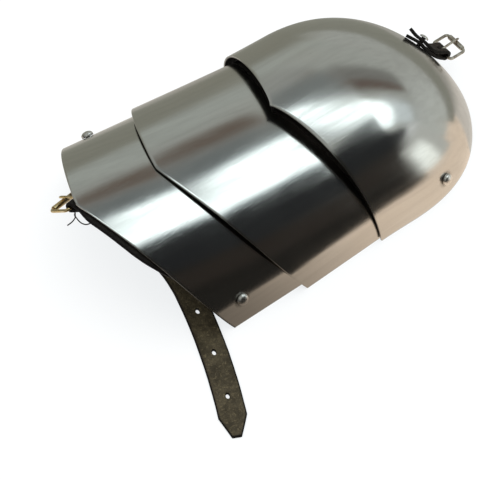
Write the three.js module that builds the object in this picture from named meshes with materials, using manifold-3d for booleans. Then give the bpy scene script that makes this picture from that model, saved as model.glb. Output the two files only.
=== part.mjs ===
// Steel pauldron of three plates for one shoulder: a domed cop, a middle lame and a lower lame,
// joined by inner leathers, with an arm strap, an arm buckle and a neck buckle.
// Millimetres. It lies on its side edges with the plates arched over it, +Z up.
// X runs along the arm, from the lower lame (-X) to the neck (+X). -Y is the front, +Y the rear.
// Sizes are set out from the centre of the arm strap; the whole is moved to its own middle at the end.
import * as THREE from 'three';
import { mergeVertices } from 'three/addons/utils/BufferGeometryUtils.js';
import Module from 'manifold-3d';

const wasm = await Module();
wasm.setup();

// Plates: sheet, nesting and where each lower edge lies at its sides
const plateThickness = 1.4;
const lowerSideX = 5.2;
const lowerShow = 57;
const middleShow = 63.6;
const sideOverlap = 22;
const copSideOverlap = 24.5;
const crestOverlap = 29;
const middleSideGap = 3.2;
const middleCrestGap = 0.6;
const copSideGap = 0.95;
const copCrestGap = 7;

// How far the corner on the mid-line reaches past the side corners
const lowerEdgeDepth = 59.5;
const middleEdgeDepth = 56.2;
const copEdgeDepth = 29.1;
const lowerBowShare = 1.15;
const middleBowShare = 1.22;
const copBowShare = 0.725;

// Lower lame: half width at its side corner, height at its crest corner
const lowerHalfWidth = 86;
const lowerCrestHeight = 88.2;
const lowerWidthTaperShare = 0.0218;
const lowerHeightTaperShare = 0.18;
const middleWidthTaperShare = 0.053;
const middleHeightTaperShare = 0.117;

// Cop: straight skirt that flares to its lower edge, then the dome to the neck edge
const copSkirt = 53.5;
const copDomeLength = 102.7;
const copFlare = 2.05;
const copDrop = 2.8;
const domeWidthShares = [2.412, 2.015];
const domeHeightShares = [1.6, 1.6];
const neckCrestShare = 0.945;
const neckSideShare = 0.76;
const neckBowShare = 4;

// Rivets: domed heads where they show, flat heads where the next plate covers them
const headRadius = 4.2;
const headHeight = 3.8;
const tabHeadRadius = 3.4;
const tabHeadHeight = 2;
const flatHeadRadius = 3.6;
const flatHeadHeight = 0.8;
const shankRadius = 1.6;
const tailRadius = 2.5;
const tailHeight = 1.1;
const burrRadius = 4.3;
const burrThickness = 0.8;
const holeClearance = 0.45;
const seatGap = 0.3;
const burrGap = 0.75;

// Inner leathers that carry the lames
const leatherThickness = 2;
const leatherWidth = 14;
const leatherEnd = 8.5;
const leatherSeat = 0.85;
const swivelGap = 1.5;
const stackGap = 1;
const pivotInset = 12.5;
const lowerPivotInset = 11.1;
const middlePivotHeight = 18;
const lowerPivotHeight = 20;
const copRivetInset = 59;
const copRivetHeight = 16.5;
const leatherLead = 2;
const leatherRise = 20;

// Arm strap with the holes: lies across the base plane and out past the lower edge
const strapWidth = 18.6;
const strapThickness = 2.2;
const strapSeat = 0.75;
const strapRivetShare = 0.635;
const strapTopRun = 12;
const strapWallEndShare = 0.88;
const strapBendRadius = 13;
const strapTurnY = -18;
const strapTurnRadius = 126;
const strapTurnDegrees = 13.9;
const strapTailRadius = 495;
const strapTailLength = 111;
const strapTipLength = 15;
const strapTipWidth = 6.4;
const strapHoleRadius = 2;
const strapHoleFromTip = 30;
const strapHolePitch = 33.5;
const strapHoleCount = 3;

// Buckle strap: follows the lower lame's edge on the inside, from its rivet to the crest
const buckleRivetInset = 8.1;
const buckleRivetHeight = 22.2;
const buckleStrapOverhang = 2;
const buckleStrapTuck = 1;
const buckleStrapRivetEnd = 10;
const buckleStrapCrestShare = 0.045;
const buckleStrapLeaveShare = 0.3;
const foldReturn = 27;
const foldClosing = 7;
const foldClearance = 0.5;
const foldReturnShare = 0.7;
const layerGap = 0.4;

// Buckles: wire frame, roller and prong
const wireRadius = 1.1;
const armBuckleHalfWidth = 12.3;
const armBuckleLength = 15.5;
const armBuckleDroopDegrees = 38;
const neckBuckleHalfWidth = 9.6;
const neckBuckleLength = 13.2;
const neckBuckleTiltDegrees = 46;
const cornerRadius = 2.2;
const rollerRadius = 1.9;
const rollerClearance = 0.35;
const prongRadius = 0.9;
const prongOverrun = 2.4;
const prongWrapDegrees = 240;
const slotClearance = 0.6;

// Neck tab: folded leather on the cop's neck end, with its rivet
const tabWidth = 12;
const tabThickness = 2.1;
const tabStand = 3.4;
const tabSeat = 0.45;
const tabRouteShares = [[0.876, 0.2], [0.858, 0.25], [0.835, 0.3]];
const neckBarReach = 3.7;
const neckBarY = 6.8;
const neckBarZ = 16.6;
const tabDipDegrees = 44;
const tabLead = 1.2;
const tabTurnReach = 6;
const tabTurnSteps = 7;
const tabOpenSteps = 4;
const tabLift = 2.2;
const tabLiftFromShare = 0.75;

// Loose end of the waxed thread that sews the buckle strap's fold
const threadDiameter = 0.8;
const threadSides = 8;
const threadRoute = [
  [-51, -13, 81], [-52.7, -12, 79.9], [-55, -11, 79.6], [-56.6, -9, 79.8], [-57, -6, 79.4], [-56.6, -2.5, 78.5],
  [-56.1, 0, 77.2], [-55.9, 0.7, 77.8], [-54.9, 1.8, 77.9], [-54.2, 2.8, 76.6], [-54.5, 2.5, 74.8], [-55.4, 1.5, 73.2],
  [-58.4, 0.5, 72.4], [-62.4, -0.5, 73.1],
];

// Mesh steps and the overrun of cuts
const cutOverrun = 3;
const lameColumns = 32;
const lameRows = 9;
const copColumns = 40;
const copRows = 22;
const roundSides = 12;
const wireSides = 8;
const quarter = Math.PI / 2;

const vector = (x, y, z) => new THREE.Vector3(x, y, z);
const rad = (degrees) => THREE.MathUtils.degToRad(degrees);

// Closed body through rings of equal point counts; ring point i pairs with its mirror for the end faces
function loft(rings, closedPath = false) {
  const size = rings[0].length;
  const positions = rings.flat().flatMap((p) => [p.x, p.y, p.z]);
  const index = [];
  const spans = closedPath ? rings.length : rings.length - 1;
  for (let i = 0; i < spans; i += 1) {
    const a = i * size;
    const b = ((i + 1) % rings.length) * size;
    for (let j = 0; j < size; j += 1) {
      const k = (j + 1) % size;
      if (j < size / 2) {
        index.push(a + j, a + k, b + k, a + j, b + k, b + j);
      } else {
        index.push(a + j, a + k, b + j, a + k, b + k, b + j);
      }
    }
  }
  if (!closedPath) {
    const last = (rings.length - 1) * size;
    for (let j = 0; j < size / 2 - 1; j += 1) {
      const mirror = size - 1 - j;
      index.push(j, mirror, mirror - 1, j, mirror - 1, j + 1);
      index.push(last + j, last + mirror - 1, last + mirror, last + j, last + j + 1, last + mirror - 1);
    }
  }
  return outward(positions, index);
}

function outward(positions, index) {
  let volume = 0;
  for (let i = 0; i < index.length; i += 3) {
    const [a, b, c] = [0, 1, 2].map((k) => vector(...positions.slice(index[i + k] * 3, index[i + k] * 3 + 3)));
    volume += a.dot(b.cross(c));
  }
  const turned = [];
  for (let i = 0; i < index.length; i += 3) {
    turned.push(index[i], volume < 0 ? index[i + 2] : index[i + 1], volume < 0 ? index[i + 1] : index[i + 2]);
  }
  const geometry = new THREE.BufferGeometry();
  geometry.setAttribute('position', new THREE.Float32BufferAttribute(positions, 3));
  geometry.setIndex(turned);
  return geometry;
}

function toSolid(geometry) {
  const bare = geometry.clone();
  bare.deleteAttribute('normal');
  bare.deleteAttribute('uv');
  const merged = mergeVertices(bare);
  return new wasm.Manifold(new wasm.Mesh({
    numProp: 3,
    vertProperties: new Float32Array(merged.attributes.position.array),
    triVerts: new Uint32Array(merged.index.array),
  }));
}

function toGeometry(solid) {
  const mesh = solid.getMesh();
  const geometry = new THREE.BufferGeometry();
  geometry.setAttribute('position', new THREE.Float32BufferAttribute(Array.from(mesh.vertProperties), mesh.numProp));
  geometry.setIndex(Array.from(mesh.triVerts));
  return geometry;
}

function cut(geometry, tools) {
  const solid = tools.reduce((left, tool) => left.subtract(toSolid(tool)), toSolid(geometry));
  return toGeometry(solid);
}

// Turns local X, Y, Z into the given directions and moves the shape to a point
function place(geometry, origin, xAxis, yAxis, zAxis) {
  const matrix = new THREE.Matrix4().makeBasis(xAxis, yAxis, zAxis).setPosition(origin);
  return geometry.clone().applyMatrix4(matrix);
}

function alongAxis(geometry, origin, axis) {
  const turn = new THREE.Quaternion().setFromUnitVectors(vector(0, 1, 0), axis);
  return geometry.clone().applyQuaternion(turn).translate(origin.x, origin.y, origin.z);
}

// Flat strip along stations of point and normal, with its own width at each station
function ribbon(stations, width, thickness) {
  const rings = stations.map(({ point, normal, share = 1, heading }, i) => {
    const before = stations[Math.max(i - 1, 0)].point;
    const after = stations[Math.min(i + 1, stations.length - 1)].point;
    const tangent = heading ?? after.clone().sub(before).normalize();
    const side = tangent.clone().cross(normal).normalize();
    const up = side.clone().cross(tangent).normalize();
    const half = side.multiplyScalar(width * share / 2);
    const rise = up.multiplyScalar(thickness / 2);
    return [
      point.clone().sub(half).sub(rise),
      point.clone().add(half).sub(rise),
      point.clone().add(half).add(rise),
      point.clone().sub(half).add(rise),
    ];
  });
  return loft(rings);
}

// Round wire through points, open or closed on itself
function wire(points, planeNormal, radius, sides, closedPath) {
  const count = points.length;
  const rings = points.map((point, i) => {
    const before = closedPath ? points[(i + count - 1) % count] : points[Math.max(i - 1, 0)];
    const after = closedPath ? points[(i + 1) % count] : points[Math.min(i + 1, count - 1)];
    const tangent = after.clone().sub(before).normalize();
    const side = tangent.clone().cross(planeNormal).normalize();
    return Array.from({ length: sides }, (_, j) => {
      const angle = (j + 0.5) / sides * 2 * Math.PI;
      return point.clone()
        .addScaledVector(side, radius * Math.cos(angle))
        .addScaledVector(planeNormal, radius * Math.sin(angle));
    });
  });
  return loft(rings, closedPath);
}

// Sections of the plates: half width and height of the arch at a station along the arm
const lowerCrestX = lowerSideX - lowerEdgeDepth;
const middleSideX = lowerSideX + lowerShow;
const middleCrestX = middleSideX - middleEdgeDepth;
const copSideX = middleSideX + middleShow;
const copCrestX = copSideX - copEdgeDepth;
const copFullX = copCrestX + copSkirt;
const neckBarX = copFullX + copDomeLength + neckBarReach;

const lowerSection = (x) => ({
  halfWidth: lowerHalfWidth - lowerWidthTaperShare * (x - lowerSideX),
  height: lowerCrestHeight - lowerHeightTaperShare * (x - lowerCrestX),
});
const middleHalfWidth = lowerSection(middleSideX).halfWidth + plateThickness + middleSideGap;
const middleCrestHeight = lowerSection(middleCrestX).height + plateThickness + middleCrestGap;
const middleSection = (x) => ({
  halfWidth: middleHalfWidth - middleWidthTaperShare * (x - middleSideX),
  height: middleCrestHeight - middleHeightTaperShare * (x - middleCrestX),
});
const skirtShare = (x) => ((copFullX - x) / copSkirt) ** 2;
const copHalfWidth = middleSection(copSideX).halfWidth + plateThickness + copSideGap - copFlare * skirtShare(copSideX);
const copHeight = middleSection(copCrestX).height + plateThickness + copCrestGap + copDrop;
const domeShare = (u, [rise, fall]) => (1 - u ** rise) ** (1 / fall);
function copSection(x) {
  if (x < copFullX) {
    return {
      halfWidth: copHalfWidth + copFlare * skirtShare(x),
      height: copHeight - copDrop * skirtShare(x),
    };
  }
  const u = (x - copFullX) / copDomeLength;
  return {
    halfWidth: copHalfWidth * domeShare(u, domeWidthShares),
    height: copHeight * domeShare(u, domeHeightShares),
  };
}

// Each edge runs from a corner on the mid-line to the two side corners; a share of 1 is a side edge
const edgeX = ({ crest, side, bow }, share) => crest + (side - crest) * Math.abs(share) ** bow;
const lower = {
  section: lowerSection,
  edge: { crest: lowerCrestX, side: lowerSideX, bow: lowerBowShare },
  top: { crest: middleCrestX + crestOverlap, side: middleSideX + sideOverlap, bow: lowerBowShare },
};
const middle = {
  section: middleSection,
  edge: { crest: middleCrestX, side: middleSideX, bow: middleBowShare },
  top: { crest: copCrestX + crestOverlap, side: copSideX + copSideOverlap, bow: middleBowShare },
};
const cop = {
  section: copSection,
  edge: { crest: copCrestX, side: copSideX, bow: copBowShare },
  top: {
    crest: copFullX + copDomeLength * neckCrestShare,
    side: copFullX + copDomeLength * neckSideShare,
    bow: neckBowShare,
  },
};

// Point of a plate's outer face: share -1 is the front side edge, 0 the crest, 1 the rear side edge
function facePoint(plate, x, share) {
  const { halfWidth, height } = plate.section(x);
  const angle = share * quarter;
  const side = Math.abs(share) === 1;
  return vector(x, halfWidth * Math.sin(angle), side ? 0 : height * Math.cos(angle));
}

function faceNormal(plate, x, share) {
  const { halfWidth, height } = plate.section(x);
  const angle = share * quarter;
  const step = plateThickness / roundSides;
  const along = facePoint(plate, x + step, share).sub(facePoint(plate, x - step, share));
  const across = vector(0, halfWidth * Math.cos(angle), -height * Math.sin(angle));
  const normal = along.cross(across).normalize();
  return Math.abs(share) === 1 ? normal.setZ(0).normalize() : normal;
}

const under = (plate, x, share, depth) => facePoint(plate, x, share)
  .addScaledVector(faceNormal(plate, x, share), -depth);
const shareAtHeight = (plate, x, z) => Math.acos(z / plate.section(x).height) / quarter;

// Sheet between a plate's two edges, with square rims; the side rims lie in the base plane
function plateSheet(plate, columns, rows) {
  const rings = Array.from({ length: columns + 1 }, (_, j) => {
    const share = 2 * j / columns - 1;
    const from = edgeX(plate.edge, share);
    const to = edgeX(plate.top, share);
    const stations = Array.from({ length: rows + 1 }, (_, i) => {
      const along = plate === cop ? Math.sin(i / rows * quarter) : i / rows;
      return from + (to - from) * along;
    });
    const outer = stations.map((x) => facePoint(plate, x, share));
    const inner = stations.map((x) => under(plate, x, share, plateThickness));
    return [...outer, ...inner.reverse()];
  });
  return loft(rings);
}

// Rivet along +Y: the head's underside at zero, the stack of layers below it
function rivetShape(radius, height, stack) {
  const dome = Array.from({ length: 5 }, (_, i) => {
    const angle = i / 4 * quarter;
    return new THREE.Vector2(radius * Math.cos(angle), height * (0.25 + 0.75 * Math.sin(angle)));
  });
  dome[4].x = 0;
  const tail = -stack - tailHeight;
  const profile = [
    new THREE.Vector2(0, tail),
    new THREE.Vector2(tailRadius, tail + tailHeight / 4),
    new THREE.Vector2(tailRadius, -stack),
    new THREE.Vector2(shankRadius, -stack),
    new THREE.Vector2(shankRadius, 0),
    new THREE.Vector2(radius, 0),
    ...dome,
  ];
  return new THREE.LatheGeometry(profile, roundSides);
}

function burrShape() {
  const inner = shankRadius + holeClearance;
  const corners = [[inner, 0], [burrRadius, 0], [burrRadius, burrThickness], [inner, burrThickness], [inner, 0]];
  return new THREE.LatheGeometry(corners.map(([r, y]) => new THREE.Vector2(r, y)), roundSides);
}

const domedHead = { radius: headRadius, height: headHeight };
const flatHead = { radius: flatHeadRadius, height: flatHeadHeight };
const tabHead = { radius: tabHeadRadius, height: tabHeadHeight };

// A rivet's place: point on the outer face, outward normal, and the layers under the head
function riveting(name, point, normal, layers, head = domedHead) {
  const depth = layers.reduce((sum, layer) => sum + layer, 0);
  const stack = seatGap + depth + burrGap + burrThickness + seatGap;
  const seat = point.clone().addScaledVector(normal, seatGap);
  const burrAt = point.clone().addScaledVector(normal, -depth - burrGap - burrThickness);
  return {
    rivet: alongAxis(rivetShape(head.radius, head.height, stack), seat, normal),
    burr: alongAxis(burrShape(), burrAt, normal),
    hole: alongAxis(
      new THREE.CylinderGeometry(shankRadius + holeClearance, shankRadius + holeClearance, depth + 2 * cutOverrun, roundSides),
      point.clone().addScaledVector(normal, -depth / 2),
      normal,
    ),
    name,
  };
}

// The two sides of the object are mirror images; side is -1 at the front and 1 at the rear
const sides = [{ side: -1, word: 'front' }, { side: 1, word: 'rear' }];
const middlePivotX = copSideX + pivotInset;
const lowerPivotX = middleSideX + lowerPivotInset;
const copRivetX = copSideX + copRivetInset;
const strapDepth = plateThickness + strapSeat + strapThickness / 2;

function sideRivets({ side, word }) {
  const copShare = side * shareAtHeight(cop, copRivetX, copRivetHeight);
  const middleShare = side * shareAtHeight(middle, middlePivotX, middlePivotHeight);
  const lowerShare = side * shareAtHeight(lower, lowerPivotX, lowerPivotHeight);
  const oneLayer = [plateThickness, leatherSeat, leatherThickness];
  const oneSwivel = [plateThickness, swivelGap, leatherThickness];
  return {
    cop: riveting(`${word}_cop`, facePoint(cop, copRivetX, copShare), faceNormal(cop, copRivetX, copShare), oneLayer),
    middle: riveting(
      `${word}_middle`,
      facePoint(middle, middlePivotX, middleShare),
      faceNormal(middle, middlePivotX, middleShare),
      [...oneSwivel, stackGap, leatherThickness],
      flatHead,
    ),
    lower: riveting(
      `${word}_lower`,
      facePoint(lower, lowerPivotX, lowerShare),
      faceNormal(lower, lowerPivotX, lowerShare),
      oneSwivel,
      flatHead,
    ),
  };
}

// Stations of a leather on the inside of a plate's wall at a steady height above the base plane
function wallStation(plate, x, height, side, depth) {
  const share = side * shareAtHeight(plate, x, height);
  return { point: under(plate, x, share, depth), normal: faceNormal(plate, x, share) };
}

function upperLeather({ side }) {
  const swivelDepth = plateThickness + swivelGap + leatherThickness / 2;
  const seatDepth = plateThickness + leatherSeat + leatherThickness / 2;
  const clearOfLame = middle.top.side + leatherLead;
  return ribbon([
    wallStation(middle, middlePivotX - leatherEnd, middlePivotHeight, side, swivelDepth),
    wallStation(middle, middlePivotX, middlePivotHeight, side, swivelDepth),
    wallStation(middle, clearOfLame, middlePivotHeight, side, swivelDepth),
    wallStation(cop, clearOfLame + leatherRise, copRivetHeight, side, seatDepth + leatherThickness),
    wallStation(cop, copRivetX - leatherEnd, copRivetHeight, side, seatDepth),
    wallStation(cop, copRivetX, copRivetHeight, side, seatDepth),
    wallStation(cop, copRivetX + leatherEnd, copRivetHeight, side, seatDepth),
  ], leatherWidth, leatherThickness);
}

function lowerLeather({ side }) {
  const swivelDepth = plateThickness + swivelGap + leatherThickness / 2;
  const stackDepth = swivelDepth + leatherThickness + stackGap;
  const clearOfLame = lower.top.side + leatherLead;
  return ribbon([
    wallStation(lower, lowerPivotX - leatherEnd, lowerPivotHeight, side, swivelDepth),
    wallStation(lower, lowerPivotX, lowerPivotHeight, side, swivelDepth),
    wallStation(lower, clearOfLame, lowerPivotHeight, side, swivelDepth),
    wallStation(middle, middlePivotX - leatherEnd - leatherLead, middlePivotHeight, side, stackDepth),
    wallStation(middle, middlePivotX, middlePivotHeight, side, stackDepth),
    wallStation(middle, middlePivotX + leatherEnd, middlePivotHeight, side, stackDepth),
  ], leatherWidth, leatherThickness);
}

// Arm strap: down the rear wall from its rivet, over the base plane and out past the front of the edge
function armStrapStations() {
  const stations = [];
  const rivetAt = strapRivetShare;
  const wallSteps = 5;
  const arcLength = (share) => share * quarter * lowerSection(0).height;
  const topShare = rivetAt - strapTopRun / arcLength(1);
  for (let i = 0; i <= wallSteps; i += 1) {
    const share = topShare + (strapWallEndShare - topShare) * i / wallSteps;
    stations.push({ point: under(lower, 0, share, strapDepth), normal: faceNormal(lower, 0, share) });
  }
  const bendSteps = 5;
  const floorZ = strapThickness / 2;
  const last = stations[wallSteps];
  const lean = Math.atan2(last.normal.z, last.normal.y);
  const bendCentre = vector(0, last.point.y - strapBendRadius * Math.cos(lean), strapBendRadius + floorZ);
  for (let i = 1; i <= bendSteps; i += 1) {
    const angle = lean - (lean + quarter) * i / bendSteps;
    const normal = vector(0, Math.cos(angle), Math.sin(angle));
    stations.push({ point: bendCentre.clone().addScaledVector(normal, strapBendRadius), normal });
  }
  const down = vector(0, 0, -1);
  const flatSteps = 5;
  const flatFrom = bendCentre.y;
  for (let i = 1; i <= flatSteps; i += 1) {
    stations.push({ point: vector(0, flatFrom + (strapTurnY - flatFrom) * i / flatSteps, floorZ), normal: down });
  }
  const turn = rad(strapTurnDegrees);
  const turnSteps = 4;
  for (let i = 1; i <= turnSteps; i += 1) {
    const angle = turn * i / turnSteps;
    const x = -strapTurnRadius * (1 - Math.cos(angle));
    stations.push({ point: vector(x, strapTurnY - strapTurnRadius * Math.sin(angle), floorZ), normal: down });
  }
  const turned = stations[stations.length - 1].point;
  for (const s of tailDistances()) {
    const share = s > strapTailLength - strapTipLength ? strapTipWidth / strapWidth : 1;
    stations.push({ point: tailPoint(turned, s), normal: down, share });
  }
  return stations;
}

// Distances along the tail of its stations; the last two are where the tip narrows
function tailDistances() {
  const straight = strapTailLength - strapTipLength;
  const steps = 6;
  return [...Array.from({ length: steps }, (_, i) => straight * (i + 1) / steps), strapTailLength];
}

function tailPoint(turned, s) {
  const turn = rad(strapTurnDegrees);
  const angle = turn + s / strapTailRadius;
  return vector(
    turned.x - strapTailRadius * (Math.cos(turn) - Math.cos(angle)),
    turned.y - strapTailRadius * (Math.sin(angle) - Math.sin(turn)),
    turned.z,
  );
}

function armStrap(rivetHole) {
  const stations = armStrapStations();
  const turned = stations[stations.length - 1 - tailDistances().length].point;
  const punch = new THREE.CylinderGeometry(strapHoleRadius, strapHoleRadius, strapThickness + 2 * cutOverrun, roundSides);
  const holes = Array.from({ length: strapHoleCount }, (_, i) => {
    const s = strapTailLength - strapHoleFromTip - strapHolePitch * i;
    return alongAxis(punch, tailPoint(turned, s), vector(0, 0, 1));
  });
  return cut(ribbon(stations, strapWidth, strapThickness), [rivetHole, ...holes]);
}

// Fold of a strap round a buckle's bar: over the bar, round it and back under the first layer
function foldStations(end, tangent, normal, thickness, returnLength, closing, gap) {
  const radius = wireRadius + foldClearance + thickness / 2;
  const centre = end.clone().addScaledVector(normal, -radius);
  const stations = [];
  const steps = 8;
  for (let i = 1; i <= steps; i += 1) {
    const angle = Math.PI * i / steps;
    const turned = normal.clone().multiplyScalar(Math.cos(angle)).addScaledVector(tangent, Math.sin(angle));
    stations.push({ point: centre.clone().addScaledVector(turned, radius), normal: turned });
  }
  const closed = thickness + gap;
  const backSteps = 3;
  const back = normal.clone().negate();
  stations.push({
    point: end.clone().addScaledVector(tangent, -closing).addScaledVector(normal, -closed),
    normal: back,
    share: foldReturnShare,
  });
  for (let i = 1; i <= backSteps; i += 1) {
    const s = closing + (returnLength - closing) * i / backSteps;
    stations.push({ distance: s, offset: closed });
  }
  return { centre, stations };
}

// Buckle strap on the inside of the lower lame, as shares from the front side edge up to the crest
const buckleRivetX = lowerSideX + buckleRivetInset;
const buckleRivetShareAt = shareAtHeight(lower, buckleRivetX, buckleRivetHeight);
const smooth = (t) => THREE.MathUtils.smoothstep(t, 0, 1);
function buckleStrapX(share) {
  const { crest, side, bow } = lower.edge;
  const edge = crest + Math.sign(-share) * (side - crest) * Math.abs(share) ** bow;
  const slope = (side - crest) * bow * Math.abs(share) ** (bow - 1) / (quarter * lowerCrestHeight);
  const tuck = buckleStrapTuck * Math.max(0, 1 - Math.abs(share) / buckleStrapLeaveShare);
  const hugging = edge + strapWidth / 2 * Math.hypot(1, slope) - buckleStrapOverhang + tuck;
  const leave = (Math.abs(Math.min(share, 0)) - buckleStrapLeaveShare) / (buckleRivetShareAt - buckleStrapLeaveShare);
  const inset = buckleRivetX - (crest + (side - crest) * buckleRivetShareAt ** bow) - (hugging - edge);
  return hugging + inset * smooth(leave);
}

function buckleStrapPoint(share, extra = 0) {
  const x = buckleStrapX(share);
  return { point: under(lower, x, share, strapDepth + extra), normal: faceNormal(lower, x, share) };
}

function buckleStrapParts() {
  const steps = 16;
  const startShare = -buckleRivetShareAt - buckleStrapRivetEnd / (quarter * lowerSection(buckleRivetX).height);
  const shareAt = (i) => startShare + (buckleStrapCrestShare - startShare) * i / steps;
  const stations = Array.from({ length: steps + 1 }, (_, i) => buckleStrapPoint(shareAt(i)));
  const end = stations[steps];
  const tangent = end.point.clone().sub(stations[steps - 1].point).normalize();
  const normal = end.normal.clone().addScaledVector(tangent, -end.normal.dot(tangent)).normalize();
  const fold = foldStations(end.point, tangent, normal, strapThickness, foldReturn, foldClosing, layerGap);
  const returned = fold.stations.map((station) => {
    if (station.point) {
      return station;
    }
    const share = buckleStrapCrestShare - station.distance / (quarter * lowerCrestHeight);
    const inner = buckleStrapPoint(share, station.offset);
    return { point: inner.point, normal: inner.normal.negate(), share: foldReturnShare };
  });
  const side = tangent.clone().cross(normal).normalize();
  return {
    shape: ribbon([...stations, ...returned], strapWidth, strapThickness),
    bar: { centre: fold.centre, out: tangent, along: side, up: normal },
  };
}

// Buckle in its own axes: X from the bar to the roller, Y along the bar, Z to the outer face
function frameShape(halfWidth, length) {
  const corners = [[0, -1, 180], [length, -1, 270], [length, 1, 0], [0, 1, 90]];
  const cornerSteps = 3;
  const points = corners.flatMap(([x, sign, from]) => {
    const centreX = x === 0 ? cornerRadius : x - cornerRadius;
    const centreY = sign * (halfWidth - cornerRadius);
    return Array.from({ length: cornerSteps + 1 }, (_, i) => {
      const angle = rad(from + 90 * i / cornerSteps);
      return vector(centreX + cornerRadius * Math.cos(angle), centreY + cornerRadius * Math.sin(angle), 0);
    });
  });
  return wire(points, vector(0, 0, 1), wireRadius, wireSides, true);
}

function rollerShape(halfWidth, length) {
  const inner = wireRadius + rollerClearance;
  const half = halfWidth - cornerRadius - seatGap;
  const corners = [[inner, -half], [rollerRadius, -half], [rollerRadius, half], [inner, half], [inner, -half]];
  const tube = new THREE.LatheGeometry(corners.map(([r, y]) => new THREE.Vector2(r, y)), roundSides);
  return tube.translate(length, 0, 0);
}

function prongShape(length) {
  const radius = wireRadius + seatGap + prongRadius;
  const steps = 10;
  const points = Array.from({ length: steps + 1 }, (_, i) => {
    const angle = quarter + rad(prongWrapDegrees) * (1 - i / steps);
    return vector(radius * Math.cos(angle), 0, radius * Math.sin(angle));
  });
  const overRoller = rollerRadius + seatGap + prongRadius;
  points.push(vector(length / 2, 0, (radius + overRoller) / 2 + seatGap));
  points.push(vector(length, 0, overRoller + seatGap / 2));
  points.push(vector(length + prongOverrun, 0, overRoller - seatGap / 2));
  return wire(points, vector(0, 1, 0), prongRadius, wireSides, false);
}

function slotShape(thickness) {
  const reach = wireRadius + seatGap + thickness + cutOverrun;
  const width = 2 * (prongRadius + slotClearance);
  return new THREE.BoxGeometry(2 * reach, width, 2 * reach).translate(seatGap, 0, 0);
}

// A buckle's pieces set on its bar: out points to the roller, along the bar, up to the outer face
function buckleParts(bar, halfWidth, length, thickness) {
  const put = (shape) => place(shape, bar.centre, bar.out, bar.along, bar.up);
  return {
    frame: put(frameShape(halfWidth, length)),
    roller: put(rollerShape(halfWidth, length)),
    prong: put(prongShape(length)),
    slot: put(slotShape(thickness)),
  };
}

// Bar axes turned about the bar, by a swing that lifts the roller
function swung(bar, degrees) {
  const angle = rad(degrees);
  return {
    centre: bar.centre,
    along: bar.along,
    out: bar.out.clone().multiplyScalar(Math.cos(angle)).addScaledVector(bar.up, Math.sin(angle)),
    up: bar.up.clone().multiplyScalar(Math.cos(angle)).addScaledVector(bar.out, -Math.sin(angle)),
  };
}

const rightHanded = (bar) => ({ ...bar, along: bar.up.clone().cross(bar.out).normalize() });

// Stations from the bar round to the first route point, with the normals blended on the way
function turnInto(start, heading, next, nextHeading) {
  const curve = new THREE.CubicBezierCurve3(
    start.point,
    start.point.clone().addScaledVector(heading, tabTurnReach),
    next.point.clone().addScaledVector(nextHeading, -tabTurnReach),
    next.point,
  );
  return Array.from({ length: tabTurnSteps }, (_, i) => {
    const t = i / tabTurnSteps;
    return { point: curve.getPoint(t), normal: start.normal.clone().lerp(next.normal, t).normalize() };
  });
}

// Neck tab: two layers from the bar back along the cop's neck end, held by one rivet
function neckTabParts() {
  const bar = rightHanded({
    centre: vector(neckBarX, neckBarY, neckBarZ),
    out: vector(Math.cos(rad(tabDipDegrees)), 0, -Math.sin(rad(tabDipDegrees))),
    up: vector(Math.sin(rad(tabDipDegrees)), 0, Math.cos(rad(tabDipDegrees))),
  });
  const route = tabRouteShares.map(([dome, share]) => {
    const x = copFullX + copDomeLength * dome;
    return { point: under(cop, x, share, -tabStand), normal: faceNormal(cop, x, share) };
  });
  const foldRadius = wireRadius + foldClearance + tabThickness / 2;
  const half = (tabThickness + layerGap) / 2;
  const lead = { point: bar.centre.clone().addScaledVector(bar.out, -tabLead), normal: bar.up };
  const inward = bar.out.clone().negate();
  const alongRoute = route[1].point.clone().sub(route[0].point).normalize();
  const spine = [...turnInto(lead, inward, route[0], alongRoute), ...route];
  const open = (i) => half + (foldRadius - half) * Math.max(0, 1 - i / tabOpenSteps);
  const upper = spine.map(({ point, normal }, i) => {
    const lift = Math.max(0, i / (spine.length - 1) - tabLiftFromShare) / (1 - tabLiftFromShare);
    return { point: point.clone().addScaledVector(normal, open(i) + tabLift * lift ** 2), normal };
  });
  const inner = spine.map(({ point, normal }, i) => ({
    point: point.clone().addScaledVector(normal, -open(i)),
    normal: normal.clone().negate(),
  }));
  upper[0].heading = bar.out;
  inner[0].heading = inward;
  upper[tabTurnSteps].heading = alongRoute.clone().negate();
  inner[tabTurnSteps].heading = alongRoute;
  const foldSteps = 8;
  const fold = Array.from({ length: foldSteps + 1 }, (_, i) => {
    const angle = Math.PI * i / foldSteps;
    const normal = bar.up.clone().multiplyScalar(Math.cos(angle)).addScaledVector(bar.out, Math.sin(angle));
    return { point: bar.centre.clone().addScaledVector(normal, foldRadius), normal };
  });
  const at = route[0];
  return {
    shape: ribbon([...upper.reverse(), ...fold, ...inner], tabWidth, tabThickness),
    bar,
    rivetPoint: at.point.clone().addScaledVector(at.normal, half + tabThickness / 2 + tabSeat),
    rivetNormal: at.normal,
  };
}

// Thread: a tube along its hand-chosen route
function threadShape() {
  const path = new THREE.CatmullRomCurve3(threadRoute.map((p) => vector(...p)));
  const section = new THREE.Shape().absarc(0, 0, threadDiameter / 2, 0, 2 * Math.PI);
  return new THREE.ExtrudeGeometry(section, {
    steps: 2 * threadRoute.length,
    curveSegments: threadSides / 2,
    extrudePath: path,
    bevelEnabled: false,
  });
}

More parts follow.
